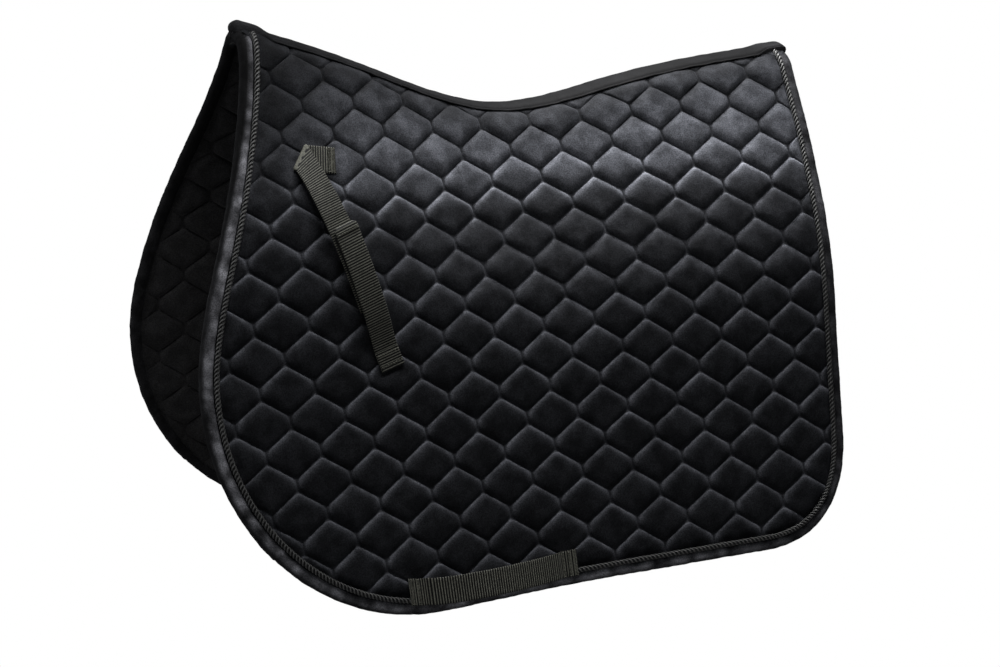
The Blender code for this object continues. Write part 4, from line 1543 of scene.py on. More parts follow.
    def shell(self, side: Side) -> Object:
        """Make the velvet face of a flap.

        Args:
            side: which flap.

        Returns:
            The new object.
        """
        height = self._relief(0.0, QUILT.crown * QUILT.start_share, EDGE.bed, EDGE.spine_bed)
        flat = WEBBING_PATH.pressed(self.cut.along, self.cut.down)
        low = np.minimum(height, self.PRESSED_HEIGHT)
        height = np.where(flat > 0, height + (low - height) * flat, height)
        material = self.palette.velvet("quilted_velvet", PILE)
        piece = self._object(f"{side.prefix}_quilted_shell", height, side, material)
        points = read_vectors(piece.data, "co") + self._filled(piece, side)
        piece.data.vertices.foreach_set("co", points.ravel())
        self._refine(piece, self.SHELL_GROOVE)
        return piece

    def lining(self, side: Side) -> Object:
        """Make the cloth on the horse's side of a flap.

        Args:
            side: which flap.

        Returns:
            The new object.
        """
        bed = EDGE.lining_bed
        height = self._relief(bed + self.LINING_SEAM, bed + self.LINING_CROWN, bed, bed)
        material = self.palette.velvet("dark_lining", LINING_CLOTH)
        piece = self._object(f"{side.prefix}_quilted_lining", height, side, material)
        piece.data.flip_normals()
        self._refine(piece, self.LINING_GROOVE)
        return piece


@dataclass(frozen=True)
class BindingLay:
    """How the binding's velvet lies and is painted, by the distance round the edge from the front tip.

    Its face, which gets a painted highlight, runs between two insets. Each has a pair: the inset at
    the front tip, and how much less it is further on. The ripples and the join are heights. The rear
    loss weakens the painted highlight towards the rear, and the closed share is painted shade on the
    rest of the section near the front tip.
    """

    ripple: float = 0.00014
    fine_ripple: float = 0.00008
    join_rise: float = 0.0009
    join_fade: float = 0.03
    front_band: Pair = (0.06, 0.22)
    face_low: Pair = (0.0045, 0.0040)
    face_high: Pair = (0.0095, 0.0045)
    face_rise: float = 0.001
    rear_band: Pair = (0.95, 1.25)
    rear_loss: float = 0.86
    closed: float = 0.065
    closed_band: Pair = (0.15, 0.35)


@dataclass
class Trim:
    """Makes the binding and the cord."""

    palette: Palette
    lay: BindingLay = BindingLay()
    ripple: Noise = Noise(SEED + 11, 0.016)
    fine: Noise = Noise(SEED + 12, 0.006)

    NOSE_STEPS = 13
    CORD_ENDS = (0.014, 0.012)
    STEPS_IN_LAY = 12
    STRAND_SIDES = 8
    STRAND_SHARE = 0.53
    STRAND_BAND = (0.88, 0.998)
    UP_STEP = 0.01

    def _binding_profile(self) -> tuple[Array, int]:
        """Draw the binding's section.

        It runs in over the velvet, round the edge in an arc, out under the lining, and then back
        along its inside. The numbers of a line are shares of its width and thickness, or steps
        that round it off.

        Returns:
            Insets and heights, and how many of them are outside.
        """
        top = EDGE.bed + EDGE.clearance
        under = EDGE.lining_bed - EDGE.clearance
        thick, width, nose = EDGE.binding_thickness, EDGE.binding_width, EDGE.binding_nose
        middle = (top + under) / 2
        reach = (top - under) / 2 + thick * 0.55
        outer = [(width, top + 0.0002), (width - 0.0004, top + thick * 0.7)]
        outer += [(width - 0.0016, top + thick * 0.98), (width * 0.62, top + thick * 1.12)]
        for angle in np.radians(np.linspace(90, 270, self.NOSE_STEPS)):
            outer.append((nose + nose * math.cos(angle), middle + reach * math.sin(angle)))
        outer += [(width * 0.62, under - thick * 0.9), (width - 0.0012, under - thick * 0.7)]
        outer += [(width, under - 0.0003), (width, under)]
        inner = [(0.0021, under), (0.0017, under + 0.001), (0.0017, top - 0.001), (0.0021, top), (width, top)]
        return np.array(outer + inner), len(outer)

    def _binding_splay(self, profile: Array, ripple: Array) -> Array:
        """Work out the binding's painted highlight on its face, weaker towards the rear, and its painted
        shade on the rest near the front tip.

        Args:
            profile: the section's insets and heights.
            ripple: the long ripple at each point.

        Returns:
            A share for each point, below 0 where shade is painted.
        """
        lay, marks = self.lay, RIM.marks
        middle = (EDGE.bed + EDGE.lining_bed) / 2
        away = smoothstep(marks, *lay.front_band)
        low, high = (base - less * away for base, less in (lay.face_low, lay.face_high))
        reach = (profile[None, :, 0] - low[:, None]) / (high - low)[:, None]
        rise = smoothstep(profile[:, 1], middle + lay.face_rise, EDGE.bed + lay.face_rise)
        facing = rise[None] * smoothstep(reach, 0.0, 1.0)
        rear = smoothstep(marks, *lay.rear_band)[:, None]
        shade = (0.75 + 0.25 * ripple) * (1 - lay.rear_loss * rear) * (0.75 + 0.75 * away[:, None])
        closed = lay.closed * (1 - smoothstep(marks, *lay.closed_band))[:, None]
        return facing * shade - (1 - facing) * closed

    def binding(self, side: Side) -> Object:
        """Make the velvet strip folded round a flap's edge.

        The section is carried round the edge, and each of its outer points is moved out from the
        section's middle by two ripples and by a step where the strip's ends overlap.

        Args:
            side: which flap.

        Returns:
            The new object.
        """
        profile, outside = self._binding_profile()
        columns = []
        for inset, height in profile:
            along, down = RIM.line(inset)
            columns.append(SURFACE.place(along, down, height, side))
        rings = np.stack(columns, axis=1)
        outward = unit(rings - rings.mean(axis=1, keepdims=True))
        mirrored = rings * (1, side.value, 1)
        long = self.ripple.at(mirrored)
        move = self.lay.ripple * long + self.lay.fine_ripple * self.fine.at(mirrored)
        before = np.maximum(EDGE.join_mark - RIM.marks, 0.0)
        move += (self.lay.join_rise * np.exp(-before / self.lay.join_fade) * (before > 0))[:, None]
        move[:, outside:] = 0.0
        rings = rings + outward * move[..., None]
        gather = MeshGather()
        # Painted highlight on the binding's face, painted shade on the rest near the front tip.
        gather.add_rings(rings, flip=side is Side.LEFT, splay=self._binding_splay(profile, long))
        material = self.palette.velvet("binding_pile", BINDING_PILE)
        return gather.piece(f"{side.prefix}_edge_binding_cloth", material)

    def cord(self, side: Side) -> Object:
        """Make the twisted cord beside the binding.

        Every strand is a tube round a helix, whose middle line lies beside the binding. The offset
        is the way from that line to the strand's. The yarn keeps its pale grey only far out from that
        line, and the rest of each strand is painted near black, a painted shade in the grooves between
        the strands.

        Args:
            side: which flap.

        Returns:
            The new object.
        """
        radius = EDGE.cord_diameter / 2
        strand = radius * self.STRAND_SHARE
        off = radius - strand
        start, end = self.CORD_ENDS
        marks = np.arange(start, RIM.length - end, EDGE.cord_lay / self.STEPS_IN_LAY)
        edge, outward = (
            np.stack([np.interp(marks, RIM.marks, column) for column in rows.T], axis=-1)
            for rows in (RIM.flat, RIM.outward)
        )
        gather = MeshGather()
        for index in range(EDGE.cord_strands):
            turn = -side.value * 2 * np.pi * marks / EDGE.cord_lay + 2 * np.pi * index / EDGE.cord_strands
            height = CORD_HEIGHT + off * np.sin(turn)
            flat = edge - (CORD_INSET + off * np.cos(turn))[:, None] * outward
            down = flat[:, 1] + SURFACE.ridge(flat[:, 0])
            path = SURFACE.place(flat[:, 0], down, height, side)
            up = SURFACE.place(flat[:, 0], down, height + self.UP_STEP, side) - path
            rings = tube_rings(path, strand, self.STRAND_SIDES, up)
            inward = unit(np.cross(unit(up), unit(np.gradient(path, axis=0))) * -side.value)
            offset = off * (np.cos(turn)[:, None] * inward + np.sin(turn)[:, None] * unit(up))
            reach = np.linalg.norm((rings - path[:, None]) + offset[:, None], axis=-1) / radius
            # Painted shade: only the strands' outer crowns keep the pale yarn, the rest is painted near
            # black.
            gather.add_rings(rings, rib=smoothstep(reach, *self.STRAND_BAND))
        return gather.piece(f"{side.prefix}_twisted_cord", self.palette.webbing("cord_yarn", YARN))


@dataclass
class Webbing:
    """Makes straps, loops and their stitches.

    The section of a strip is given by shares of its width and by lifts, shares of its half
    thickness. A stitch is a thread whose ends go down into the cloth.
    """

    palette: Palette
    path: StrapPath = WEBBING_PATH

    SECTION_SHARES = np.concatenate([[0.0, 0.012], np.linspace(0.04, 0.96, 12), [0.988, 1.0]])
    SECTION_LIFTS = np.concatenate([[0.45, 0.85], np.ones(12), [0.85, 0.45]])
    FULL_LIFT = 0.9
    PLAIN_RIB = 0.7

    THREAD_RADIUS = 0.00034
    THREAD_SIDES = 6
    THREAD_RIB = 0.9
    THREAD_ARCH = np.array([-0.9, 0.5, 0.9, 0.5, -0.9])
    UP_STEP = 0.01

    ROW_STEP = 0.00062
    LONG_ROW_STEP = 0.00066
    TURN_STEPS = 9
    SEWN_ROWS = 64
    SEWN_LAST = 0.03
    LED_START = 0.012
    TWIST_END = 0.20
    TWIST_POWER = 0.8
    LED_SLANT = 0.5

    SEWN_STITCH = 0.0016
    SEWN_MARGIN = 0.06
    TAB_STITCH = 0.0011
    HEM_REACH = 0.42
    HEM_SEAM = 0.0018
    HEM_CORNER = 0.003
    HEM_STEP = 0.001
    HEM_EDGE = 0.0008
    FOOT_REACH = 0.43
    PATCH_MARGIN = 0.03
    PATCH_ROWS = 60

    LOOP_STITCH = 0.0013
    LOOP_REACH = 0.90
    LOOP_POWER = 0.7
    LOOP_EASE = 0.05
    LOOP_SPARE = 0.0002

    def _ribbed(self, gather: MeshGather, name: str) -> Object:
        """Return what was gathered as a piece of ribbed webbing."""
        return gather.piece(name, self.palette.webbing("webbing_ribs", RIBS))

    def strip(
        self,
        gather: MeshGather,
        first: Array,
        second: Array,
        thickness: Values,
        phase: Array,
        ribbed: bool = True,
    ) -> None:
        """Add a flat strip between two rows of points.

        The ribs are a cosine of the distance along the webbing, on both faces.

        Args:
            gather: where it is added.
            first: points on one long edge.
            second: points on the other.
            thickness: the strip's thickness, one for all or one for each row.
            phase: distance along the webbing at each point, one row for each point of the edges.
            ribbed: whether ribs stand on it.
        """
        shares, lifts = self.SECTION_SHARES, self.SECTION_LIFTS
        tangent = np.gradient((first + second) / 2, axis=0)
        normal = unit(np.cross(tangent, second - first))
        spread = first[:, None] + shares[None, :, None] * (second - first)[:, None]
        along = phase[:, :1] + shares[None] * (phase[:, 1:] - phase[:, :1])
        wave = np.cos(2 * np.pi * along / STRAP.rib_pitch)
        rib = 0.5 + 0.5 * wave if ribbed else np.full_like(wave, self.PLAIN_RIB)
        rise = STRAP.rib_height * wave * (lifts > self.FULL_LIFT) * ribbed
        half = np.broadcast_to(np.asarray(thickness, float) / 2, (len(first),))[:, None]
        out = normal[:, None] * (half * lifts + rise)[..., None]
        rings = np.concatenate([spread + out, (spread - out)[:, ::-1]], axis=1)
        gather.add_rings(rings, rib=np.concatenate([rib, rib[:, ::-1]], axis=1))

    def stitch_row(
        self,
        gather: MeshGather,
        side: Side,
        ends: tuple[Array, Array],
        reach: Array,
        heights: Pair,
        count: int,
    ) -> None:
        """Add stitches evenly spaced between two points, each arched over the cloth.

        Args:
            gather: where they are added.
            side: which flap.
            ends: the first and the last stitch's middles.
            reach: the step from a stitch's middle to its end.
            heights: heights of the cloth at the first and the last stitch.
            count: how many stitches.
        """
        bends = np.linspace(-1, 1, len(self.THREAD_ARCH))[:, None]
        for share in np.linspace(0, 1, count):
            line = ends[0] + share * (ends[1] - ends[0]) + bends * reach
            rise = heights[0] + share * (heights[1] - heights[0]) + self.THREAD_RADIUS * self.THREAD_ARCH
            path = SURFACE.place(line[:, 0], line[:, 1], rise, side)
            up = SURFACE.place(line[:, 0], line[:, 1], rise + self.UP_STEP, side) - path
            rings = tube_rings(path, self.THREAD_RADIUS, self.THREAD_SIDES, up)
            gather.add_rings(rings, rib=np.full(rings.shape[:2], self.THREAD_RIB))

    def cross_seam(self, gather: MeshGather, side: Side, middle: Array, reach: float, face: float) -> None:
        """Add a seam square across the strap.

        Args:
            gather: where it is added.
            side: which flap.
            middle: the seam's middle.
            reach: share of the strap's width from the middle to the seam's end.
            face: height of the webbing's face.
        """
        ends = [middle + sign * reach * STRAP.run_width * self.path.across for sign in (-1, 1)]
        half = self.path.across * self.TAB_STITCH
        self.stitch_row(gather, side, ends, half, (face, face), STRAP.tab_stitches)

    def upper_tab(self, side: Side) -> Object:
        """Make the strap's upper part, sewn flat, folded on a slant and led down the pad.

        Its rows go from the sewn end up to the crease, round the fold in half a circle, and then
        down the strap, while they turn from the crease's slant to square across.

        Args:
            side: which flap.

        Returns:
            The new object.
        """
        path = self.path
        top, bottom = path.fold - path.crease_half, path.fold + path.crease_half
        sewn_top, sewn_bottom = np.array(STRAP.sewn_top), np.array(STRAP.sewn_bottom)
        sewn_way = path.even(sewn_top) / np.linalg.norm(path.even(sewn_top))
        rows: list[tuple[Array, Array, float]] = []
        for part in np.linspace(1, self.SEWN_LAST, self.SEWN_ROWS):
            rows.append((top + sewn_top * part, bottom + sewn_bottom * part, path.lower_layer))
        phase = [[path.even(a) @ sewn_way, path.even(b) @ sewn_way] for a, b, _ in rows]
        for angle in np.radians(np.linspace(-90, 90, self.TURN_STEPS)):
            shift = np.array([-path.fold_radius * math.cos(angle), 0.0])
            rows.append((top + shift, bottom + shift, path.fold_height + path.fold_radius * math.sin(angle)))
            phase.append([0.0, 0.0])
        for part in np.arange(self.LED_START, STRAP.upper_end, self.ROW_STEP / path.length):
            mix = min(part / self.TWIST_END, 1.0) ** self.TWIST_POWER
            middle = path.point(part) + (path.fold - path.top) * (1 - mix)
            half = -path.crease_half * (1 - mix) + path.across * STRAP.run_width / 2 * mix
            rows.append((middle + half, middle - half, float(path.upper_height(part))))
            square = [path.even(end) @ path.even(path.way) for end in (middle + half, middle - half)]
            mean = sum(square) / 2
            phase.append([mean + self.LED_SLANT * (end - mean) for end in square])
        first = np.array([SURFACE.place(*a, h, side) for a, _, h in rows])
        second = np.array([SURFACE.place(*b, h, side) for _, b, h in rows])
        gather = MeshGather()
        self.strip(gather, first, second, STRAP.thickness, np.array(phase))
        face = path.lower_layer + STRAP.face
        back = -sewn_top / np.linalg.norm(sewn_top)
        for inset, count in STRAP.upper_seams:
            start, end = top + sewn_top + inset * back, bottom + sewn_bottom + inset * back
            margin = self.SEWN_MARGIN * (end - start)
            ends = (start + margin, end - margin)
            self.stitch_row(gather, side, ends, self.SEWN_STITCH * back, (face, face), count)
        return self._ribbed(gather, f"{side.prefix}_strap_upper_webbing")

    def run(
        self,
        gather: MeshGather,
        side: Side,
        parts: Array,
        heights: Array,
        width: Values,
        thickness: Values,
        ribbed: bool = True,
        shift: Values = 0.0,
    ) -> None:
        """Add a run of strap.

        Args:
            gather: where it is added.
            side: which flap.
            parts: parts of the way from the fold to the foot.
            heights: heights of the run's middle.
            width: the run's width, one for all or one for each part.
            thickness: its thickness, one for all or one for each part.
            ribbed: whether ribs stand on it.
            shift: how far it lies aside towards the tail.
        """
        width, shift = (np.broadcast_to(np.asarray(v, float), parts.shape)[:, None] for v in (width, shift))
        middle = self.path.point(parts) + self.path.across * shift
        ends = [middle + sign * self.path.across * width / 2 for sign in (-1, 1)]
        first, second = (SURFACE.place(end[:, 0], end[:, 1], heights, side) for end in ends)
        steps = np.linalg.norm(np.diff((first + second) / 2, axis=0), axis=1)
        lengths = np.concatenate([[0.0], np.cumsum(steps)])
        self.strip(gather, first, second, thickness, np.stack([lengths, lengths], axis=-1), ribbed)

    def lower_tab(self, side: Side) -> Object:
        """Make the strap's lower part, with its hemmed upper end.

        The hem is half as thick again, thins out at its very end, and has corners cut in arcs.

        Args:
            side: which flap.

        Returns:
            The new object.
        """
        gather = MeshGather()
        path = self.path
        parts = np.arange(STRAP.lower_start, path.hinge, self.ROW_STEP / path.length)
        shift = STRAP.tab_shift * (1 - (parts - STRAP.lower_start) / (path.hinge - STRAP.lower_start))
        away = (parts - STRAP.lower_start) * path.length
        corner = self.HEM_CORNER
        cut = corner - np.sqrt(corner ** 2 - np.maximum(corner - away, 0.0) ** 2)
        thickness = STRAP.thickness * (1.5 - 0.5 * smoothstep(away, STRAP.hem, STRAP.hem + self.HEM_STEP))
        thickness *= 0.5 + 0.5 * smoothstep(away, 0.0, self.HEM_EDGE)
        heights = path.lower_height(parts) + (thickness - STRAP.thickness) / 2
        self.run(gather, side, parts, heights, STRAP.run_width - 2 * cut, thickness, shift=shift)
        middle = path.point(np.array(STRAP.lower_start + (STRAP.hem - self.HEM_SEAM) / path.length))
        middle = middle + path.across * STRAP.tab_shift
        face = float(path.lower_height(STRAP.lower_start)) + STRAP.thickness + STRAP.rib_height
        self.cross_seam(gather, side, middle, self.HEM_REACH, face)
        return self._ribbed(gather, f"{side.prefix}_strap_lower_webbing")

    def foot(self, side: Side) -> Object:
        """Make the strap's foot, sewn down with its end turned under in half a circle.

        Args:
            side: which flap.

        Returns:
            The new object.
        """
        path = self.path
        step = self.LONG_ROW_STEP / path.length
        parts = list(np.arange(path.hinge + EDGE.clearance / path.length, 1, step))
        heights = [path.upper_layer] * len(parts)
        for angle in np.radians(np.linspace(90, -90, self.TURN_STEPS)):
            parts.append(1 + path.fold_radius * math.cos(angle) / path.length)
            heights.append(path.fold_height + path.fold_radius * math.sin(angle))
        back = np.arange(1 - step, path.hinge, -step)
        parts.extend(back)
        heights.extend([path.lower_layer] * len(back))
        gather = MeshGather()
        self.run(gather, side, np.array(parts), np.array(heights), STRAP.run_width, STRAP.thickness)
        for away in STRAP.foot_seams:
            middle = path.foot - away * path.way
            self.cross_seam(gather, side, middle, self.FOOT_REACH, path.upper_layer + STRAP.face)
        return self._ribbed(gather, f"{side.prefix}_strap_foot_webbing")

    def patch(self, side: Side, lift: float, name: str) -> Object:
        """Make a strip of hook or loop tape.

        Args:
            side: which flap.
            lift: height over the upper tab's middle.
            name: last part of the piece's name.

        Returns:
            The new object.
        """
        gather = MeshGather()
        ends = (STRAP.lower_start + self.PATCH_MARGIN, STRAP.upper_end - self.PATCH_MARGIN)
        parts = np.linspace(*ends, self.PATCH_ROWS)
        heights = self.path.upper_height(parts) + lift
        self.run(gather, side, parts, heights, STRAP.patch_width, STRAP.patch_thickness, False)
        return gather.piece(f"{side.prefix}_strap_{name}", self.palette.webbing("hook_and_loop", HOOKS))

    def girth_loop(self, side: Side) -> Object:
        """Make the girth loop.

        Its middle bows out by a power of a sine, eased in at the sewn ends. Its lower edge lies on
        the cord, so it is tilted by what takes it over that.

        Args:
            side: which flap.

        Returns:
            The new object.
        """
        sewn = STRAP.loop_sewn / STRAP.loop_length
        parts = np.arange(0, 1, self.LONG_ROW_STEP / STRAP.loop_length)
        share = np.clip((parts - sewn) / (1 - 2 * sewn), 0, 1)
        lift = STRAP.loop_bow * np.sin(np.pi * share) ** self.LOOP_POWER
        lift *= smoothstep(share * (1 - share), 0.0, self.LOOP_EASE)
        middle = self.path.loop_line(parts)
        half = np.array([0.0, STRAP.width / 2])
        cord_top = CORD_HEIGHT + EDGE.cord_diameter / 2 + EDGE.clearance + STRAP.thickness / 2
        over_cord = (CORD_INSET - STRAP.loop_gap) / STRAP.width
        upper = self.path.lower_layer
        lower = upper + (cord_top + self.LOOP_SPARE - upper) / (1 - over_cord)
        first = SURFACE.place(*(middle - half).T, upper + lift, side)
        second = SURFACE.place(*(middle + half).T, lower + lift, side)
        gather = MeshGather()
        phase = np.stack([parts * STRAP.loop_length] * 2, axis=-1)
        self.strip(gather, first, second, STRAP.thickness, phase)
        margin = (1 - self.LOOP_REACH) / 2 * (lower - upper)
        heights = (upper + margin + STRAP.face, lower - margin + STRAP.face)
        rear_seams = [STRAP.loop_length - away for away in STRAP.loop_rear_seams]
        for place in (*STRAP.loop_front_seams, *rear_seams):
            centre = self.path.loop_line(place / STRAP.loop_length)
            ends = [centre + sign * self.LOOP_REACH * half for sign in (-1, 1)]
            reach = np.array([self.LOOP_STITCH, 0.0])
            self.stitch_row(gather, side, ends, reach, heights, STRAP.loop_stitches)
        return self._ribbed(gather, f"{side.prefix}_girth_loop_webbing")


@dataclass(frozen=True)
class Lamp:
    """A lamp, what it points at, its power in watts, and the settings of its kind by name."""

    kind: str
    place: Triple
    aim: Triple
    power: float
    settings: dict[str, float | str]

    def build(self, name: str) -> None:
        """Put the lamp in the scene.

        Args:
            name: its name.
        """
        data = bpy.data.lights.new(name, self.kind)
        data.energy = self.power
        for key, value in self.settings.items():
            setattr(data, key, value)
        light = bpy.data.objects.new(name, data)
        light.location = self.place
        light.rotation_euler = (Vector(self.aim) - Vector(self.place)).to_track_quat("-Z", "Y").to_euler()
        bpy.context.scene.collection.objects.link(light)


@dataclass
class Studio:
    """Floor, lights, camera and the picture's settings. The lamps stand above, as in the photograph."""

    palette: Palette

    POSITION = Vector((-0.7897, -1.9917, 0.3250))
    AZIMUTH = -22.018
    ELEVATION = 14.201
    LENS = 79.291
    SENSOR = 36.0
    FLOOR = -1.05
    FLOOR_HALF = 14.0
    SKY = (0.9, 0.95, 1.0, 1.0)
    SKY_STRENGTH = 0.03
    WHITE = (1.0, 1.0, 1.0, 1.0)
    BEAM = {"spot_size": math.radians(48.0), "spot_blend": 1.0, "shadow_soft_size": 0.20}
    TOP_BOX = {"shape": "RECTANGLE", "size": 1.2, "size_y": 0.2}
    SIDE_BOX = {"shape": "RECTANGLE", "size": 0.8, "size_y": 0.5}
    LAMPS = {
        "key": Lamp("SPOT", (0.18, 0.22, 0.95), (0.18, -0.06, 0.0), 82.0, BEAM),
        "top": Lamp("AREA", (0.02, -0.45, 1.10), (0.0, -0.15, -0.2), 6.2, TOP_BOX),
        "side": Lamp("AREA", (-1.5, 0.02, 0.35), (-0.3, -0.05, -0.1), 3.0, SIDE_BOX),
    }

    def camera(self) -> None:
        """Make the camera, turned to the photograph's angle by its azimuth and elevation."""
        data = bpy.data.cameras.new("camera")
        data.sensor_width = self.SENSOR
        data.lens = self.LENS
        camera = bpy.data.objects.new("camera", data)
        camera.location = self.POSITION
        azimuth, elevation = math.radians(self.AZIMUTH), math.radians(self.ELEVATION)
        level = math.cos(elevation)
        way = Vector((-math.sin(azimuth) * level, math.cos(azimuth) * level, -math.sin(elevation)))
        camera.rotation_euler = way.to_track_quat("-Z", "Y").to_euler()
        bpy.context.scene.collection.objects.link(camera)
        bpy.context.scene.camera = camera

    def floor(self) -> None:
        """Make the plain pale floor."""
        half = self.FLOOR_HALF
        signs = ((-1, -1), (1, -1), (1, 1), (-1, 1))
        corners = np.array([(x * half, y * half, self.FLOOR) for x, y in signs])
        paint = self.palette.backdrop("pale_floor", FLOOR_PAINT)
        floor = make_piece("floor", corners, [(0, 1, 2, 3)], paint)

    def world(self) -> None:
        """Make a white backdrop that lights the scene only a little."""
        world = bpy.data.worlds.new("studio")
        bpy.context.scene.world = world
        world.use_nodes = True
        tree = world.node_tree
        seen = tree.nodes["Background"]
        seen.inputs["Color"].default_value = self.WHITE
        lit = make_node(tree, "Background", {"Color": self.SKY, "Strength": self.SKY_STRENGTH})
        output = tree.nodes["World Output"]
        white_to_camera(tree, output, lit.outputs["Background"], seen.outputs["Background"])

    def build(self) -> None:
        """Make the whole studio."""
        view = bpy.context.scene.view_settings
        view.view_transform = "Standard"
        self.camera()
        self.floor()
        for name, lamp in self.LAMPS.items():
            lamp.build(name)
        self.world()


class BandCloth(Enum):
    """What a spine strip is made of."""

    PILE = ("spine_pile", SPINE_PILE)
    LINING = ("dark_lining", LINING_CLOTH)


@dataclass(frozen=True)
class TipShape:
    """How the spine band's ends are rolled and rounded, and where painted light lies on it.
    Marks are shares of the band's length.
    """

    marks: tuple[float, ...] = (0.0, 0.0003, 0.0009, 0.0018, 0.0030, 0.0045, 0.0062, 0.009)
    middle_start: float = 0.012
    middle_rows: int = 190
    inset_share: float = 0.35
    fade: Pair = (0.7, 1.4)
    round_length: float = 0.0045
    least_round: float = 0.02
    far_spread: float = 0.006
    far_rise: float = 0.25
    front_reach: float = 0.0050
    both_reach: float = 0.0085
    tuck: float = 0.0065
    ripple: float = 0.00015
    painted_light_level: float = 0.5
    front_marks: Pair = (0.05, 0.45)
    front_painted_light: float = 0.5
    rear_marks: Pair = (0.6, 0.85)
    rear_painted_light_loss: float = 0.3


@dataclass
class SpineBand:
    """Makes the strips over and under the spine.

    A strip's section is a list of rows on one flap, each a share of the strip's half width and a
    height. The other flap has the same rows the other way round.
    """

    palette: Palette
    tip: TipShape = TipShape()
    ripple: Noise = Noise(SEED + 11, 0.016)

    def binding(self) -> Object:
        """Make the velvet band over the spine, with a groove beside each of its seams.

        Returns:
            The new object.
        """
        outer, inner = EDGE.spine_outer, EDGE.spine_bed + EDGE.clearance
        rows = [(1.0, inner), (1.0, outer - 0.0007), (0.97, outer - 0.0001), (0.93, outer - 0.0001)]
        rows += [(0.90, outer - 0.0011), (0.87, outer - 0.0001), (0.6, outer + 0.0002), (0.3, outer + 0.0002)]
        rows += [(0.05, outer)]
        under = [(0.05, inner), (0.5, inner)]
        return self._band("spine_binding_cloth", EDGE.spine_half_width, rows, under, BandCloth.PILE)

    def tape(self) -> Object:
        """Make the cloth tape under the spine.

        Returns:
            The new object.
        """
        top = EDGE.lining_bed - EDGE.clearance
        rows = [(1.0, top), (0.5, top), (0.05, top)]
        under = [(0.05, top - 0.0012), (0.5, top - 0.0012), (1.0, top - 0.0010)]
        return self._band("spine_tape_cloth", EDGE.tape_half_width, rows, under, BandCloth.LINING)

    def _ends(self, down: Array) -> list[Array]:
        """Find where the band starts and ends, a little inside the flap's edge.

        Args:
            down: distances down the flap.

        Returns:
            For each of them the first and the last place along the pad.
        """
        along, depth = RIM.line(EDGE.binding_width * self.tip.inset_share)
        half = len(along) // 2
        halves = ((along[:half], depth[:half]), (along[::-1][:half], depth[::-1][:half]))
        return [np.interp(down, depths, places) for places, depths in halves]

    def _band(
        self,
        name: str,
        half: float,
        outer: list[Pair],
        inner: list[Pair],
        cloth: BandCloth,
    ) -> Object:
        """Make a strip from its outer and inner rows on one flap.

        Each row runs from tip to tip. On the velvet band the tips are narrower, rolled up by a
        rise, tucked under, and rounded by a quarter circle.

        Args:
            name: the piece's name.
            half: half the strip's width.
            outer: its rows away from the horse, from its side to its middle.
            inner: its rows towards the horse, from its middle to its side.
            cloth: what it is made of.

        Returns:
            The new object.
        """
        tip = self.tip
        order = [(Side.LEFT, row) for row in outer] + [(Side.RIGHT, row) for row in outer[::-1]]
        order += [(Side.RIGHT, row) for row in inner[::-1]] + [(Side.LEFT, row) for row in inner]
        length = PAD.rear_tip - PAD.front_tip
        ease = np.array(tip.marks)
        even = np.linspace(tip.middle_start, length - tip.middle_start, tip.middle_rows)
        marks = np.concatenate([ease, even, length - ease[::-1]]) / length
        away = [np.minimum(marks, 1) * length, (1 - marks) * length]
        near = [1 - smoothstep(gap, *(EDGE.tip_length * share for share in tip.fade)) for gap in away]
        arc = (1 - np.minimum(*away) / tip.round_length).clip(0, 1)
        rounded = np.sqrt(np.clip(1 - arc ** 2, tip.least_round, 1))
        is_pile = cloth is BandCloth.PILE
        widths = half + sum(n * (w - half) for n, w in zip(near, EDGE.tip_half_widths)) * is_pile
        at_tips = (near[0] + near[1]) * is_pile
        roll = EDGE.tip_rise * at_tips
        core = (min(height for _, height in inner) + max(height for _, height in outer)) / 2
        columns = []
        for side, (share, height) in order:
            far = tip.far_spread * near[0] * is_pile * (side is Side.RIGHT)
            down = share * (widths + far)
            start, end = self._ends(down)
            along = start - tip.front_reach * is_pile + (end - start + tip.both_reach * is_pile) * marks
            lifted = height + (roll + tip.far_rise * far if height > core else -tip.tuck * at_tips)
            middle = core - 0.5 * roll
            lifted = middle + (lifted - middle) * (rounded if is_pile else 1.0)
            columns.append(SURFACE.place(along, down, lifted, side))
        rings = np.stack(columns, axis=1)
        rings[..., 2] += tip.ripple * self.ripple.at(rings * (1, 0, 1))
        # Painted light: the velvet band is painted paler all along, more towards the front and at its rolled
        # tips, and less pale towards the rear.
        painted_amount = tip.painted_light_level + tip.front_painted_light * (1 - smoothstep(marks, *tip.front_marks))
        painted_amount += near[0] + near[1] - tip.rear_painted_light_loss * smoothstep(marks, *tip.rear_marks)
        gather = MeshGather()
        gather.add_rings(rings, flip=True, splay=np.broadcast_to(painted_amount[:, None], rings.shape[:2]))
        return gather.piece(name, self.palette.velvet(*cloth.value))


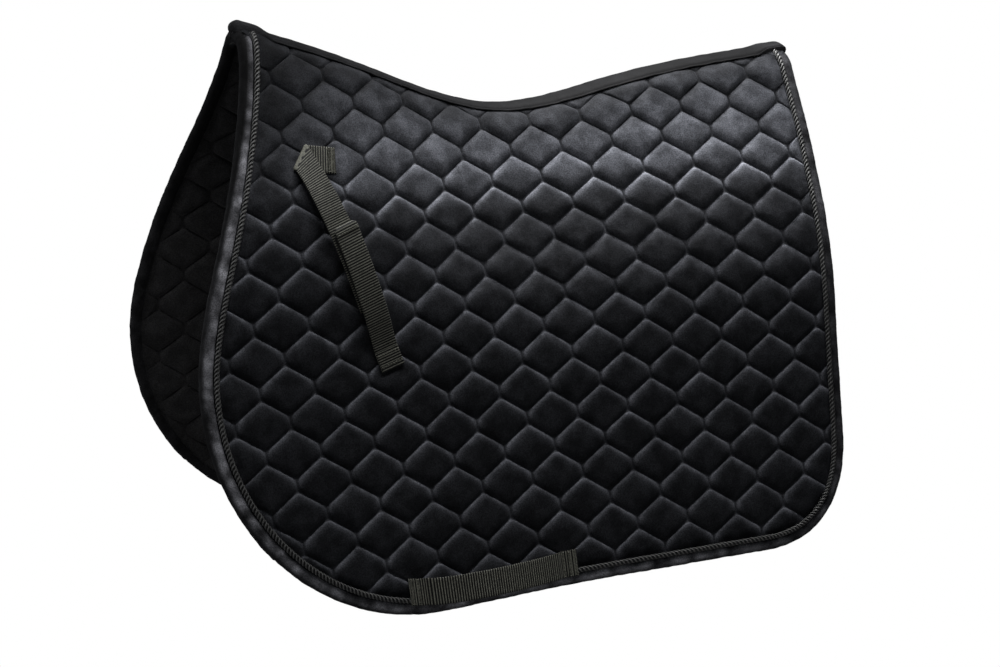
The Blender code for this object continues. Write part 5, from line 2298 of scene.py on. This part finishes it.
@dataclass
class SaddlePad:
    """Puts the pieces together and hangs the webbing, tape and spine pieces on the frame's bodies."""

    panels: QuiltedPanel
    trim: Trim
    webbing: Webbing
    band: SpineBand
    pieces: list[Object] = field(default_factory=list)

    BLEND_START = 0.004
    BLEND_END = 0.045

    def _hang(self, piece: Object, side: Side, slot: str, *nodes: str) -> None:
        """Put a flap's piece in the frame, in place of CAD nodes.

        Args:
            piece: the piece.
            side: which flap.
            slot: not used.
            *nodes: the nodes' names, without the side.
        """
        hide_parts(*(f"{side.prefix}_{node}" for node in nodes))
        side.flap
        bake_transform(piece)
        self.pieces.append(piece)

    def _ride(self, piece: Object, body: str, slot: str, *nodes: str) -> None:
        """Let a piece ride on one body, in place of CAD nodes.

        Args:
            piece: the piece.
            body: the body's name.
            slot: not used.
            *nodes: the nodes' names.
        """
        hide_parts(*nodes)
        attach(piece, body)
        self.pieces.append(piece)

    def flap(self, side: Side) -> None:
        """Make all of a flap's pieces.

        Args:
            side: which flap.
        """
        prefix = side.prefix
        shell = self.panels.shell(side)
        self._hang(shell, side, "black_velvet", "outer_shell", "core_padding")
        lining = self.panels.lining(side)
        self._hang(lining, side, "black_lining", "lining")
        self._hang(self.trim.binding(side), side, "binding_velvet", "edge_binding")
        self._hang(self.trim.cord(side), side, "piping_yarn", "piping_cord")
        loop_lift = STRAP.thickness / 2 + EDGE.clearance + STRAP.patch_thickness / 2
        hook_lift = loop_lift + STRAP.patch_thickness + EDGE.clearance
        webbing = self.webbing
        self._ride(webbing.upper_tab(side), side.flap, "ribbed_webbing", f"{prefix}_strap_upper_tab")
        self._ride(webbing.foot(side), side.flap, "ribbed_webbing", f"{prefix}_strap_foot")
        self._ride(webbing.girth_loop(side), side.flap, "ribbed_webbing", f"{prefix}_girth_loop")
        patch = webbing.patch(side, loop_lift, "loop_tape")
        self._ride(patch, side.flap, "loop_tape", f"{prefix}_strap_loop_patch")
        self._ride(webbing.lower_tab(side), side.strap, "ribbed_webbing", f"{prefix}_strap_lower_tab")
        patch = webbing.patch(side, hook_lift, "hook_tape")
        self._ride(patch, side.strap, "hook_tape", f"{prefix}_strap_hook_patch")

    def build(self) -> list[Object]:
        """Make the whole pad.

        Returns:
            Its pieces.
        """
        for side in Side:
            self.flap(side)
        self._ride(self.band.binding(), "spine", "binding_velvet", "spine_binding")
        self._ride(self.band.tape(), "spine", "black_lining", "spine_tape")
        return self.pieces


def main() -> None:
    """Build the studio and the pad, and report each piece."""
    logging.basicConfig(level=logging.INFO, format="%(message)s")
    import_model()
    palette = Palette()
    Studio(palette).build()
    pad = SaddlePad(QuiltedPanel(palette), Trim(palette), Webbing(palette), SpineBand(palette))
    for piece in pad.build():
        LOG.info("%s: %d points, %d faces", piece.name, len(piece.data.vertices), len(piece.data.polygons))


if __name__ == "__main__":
    main()
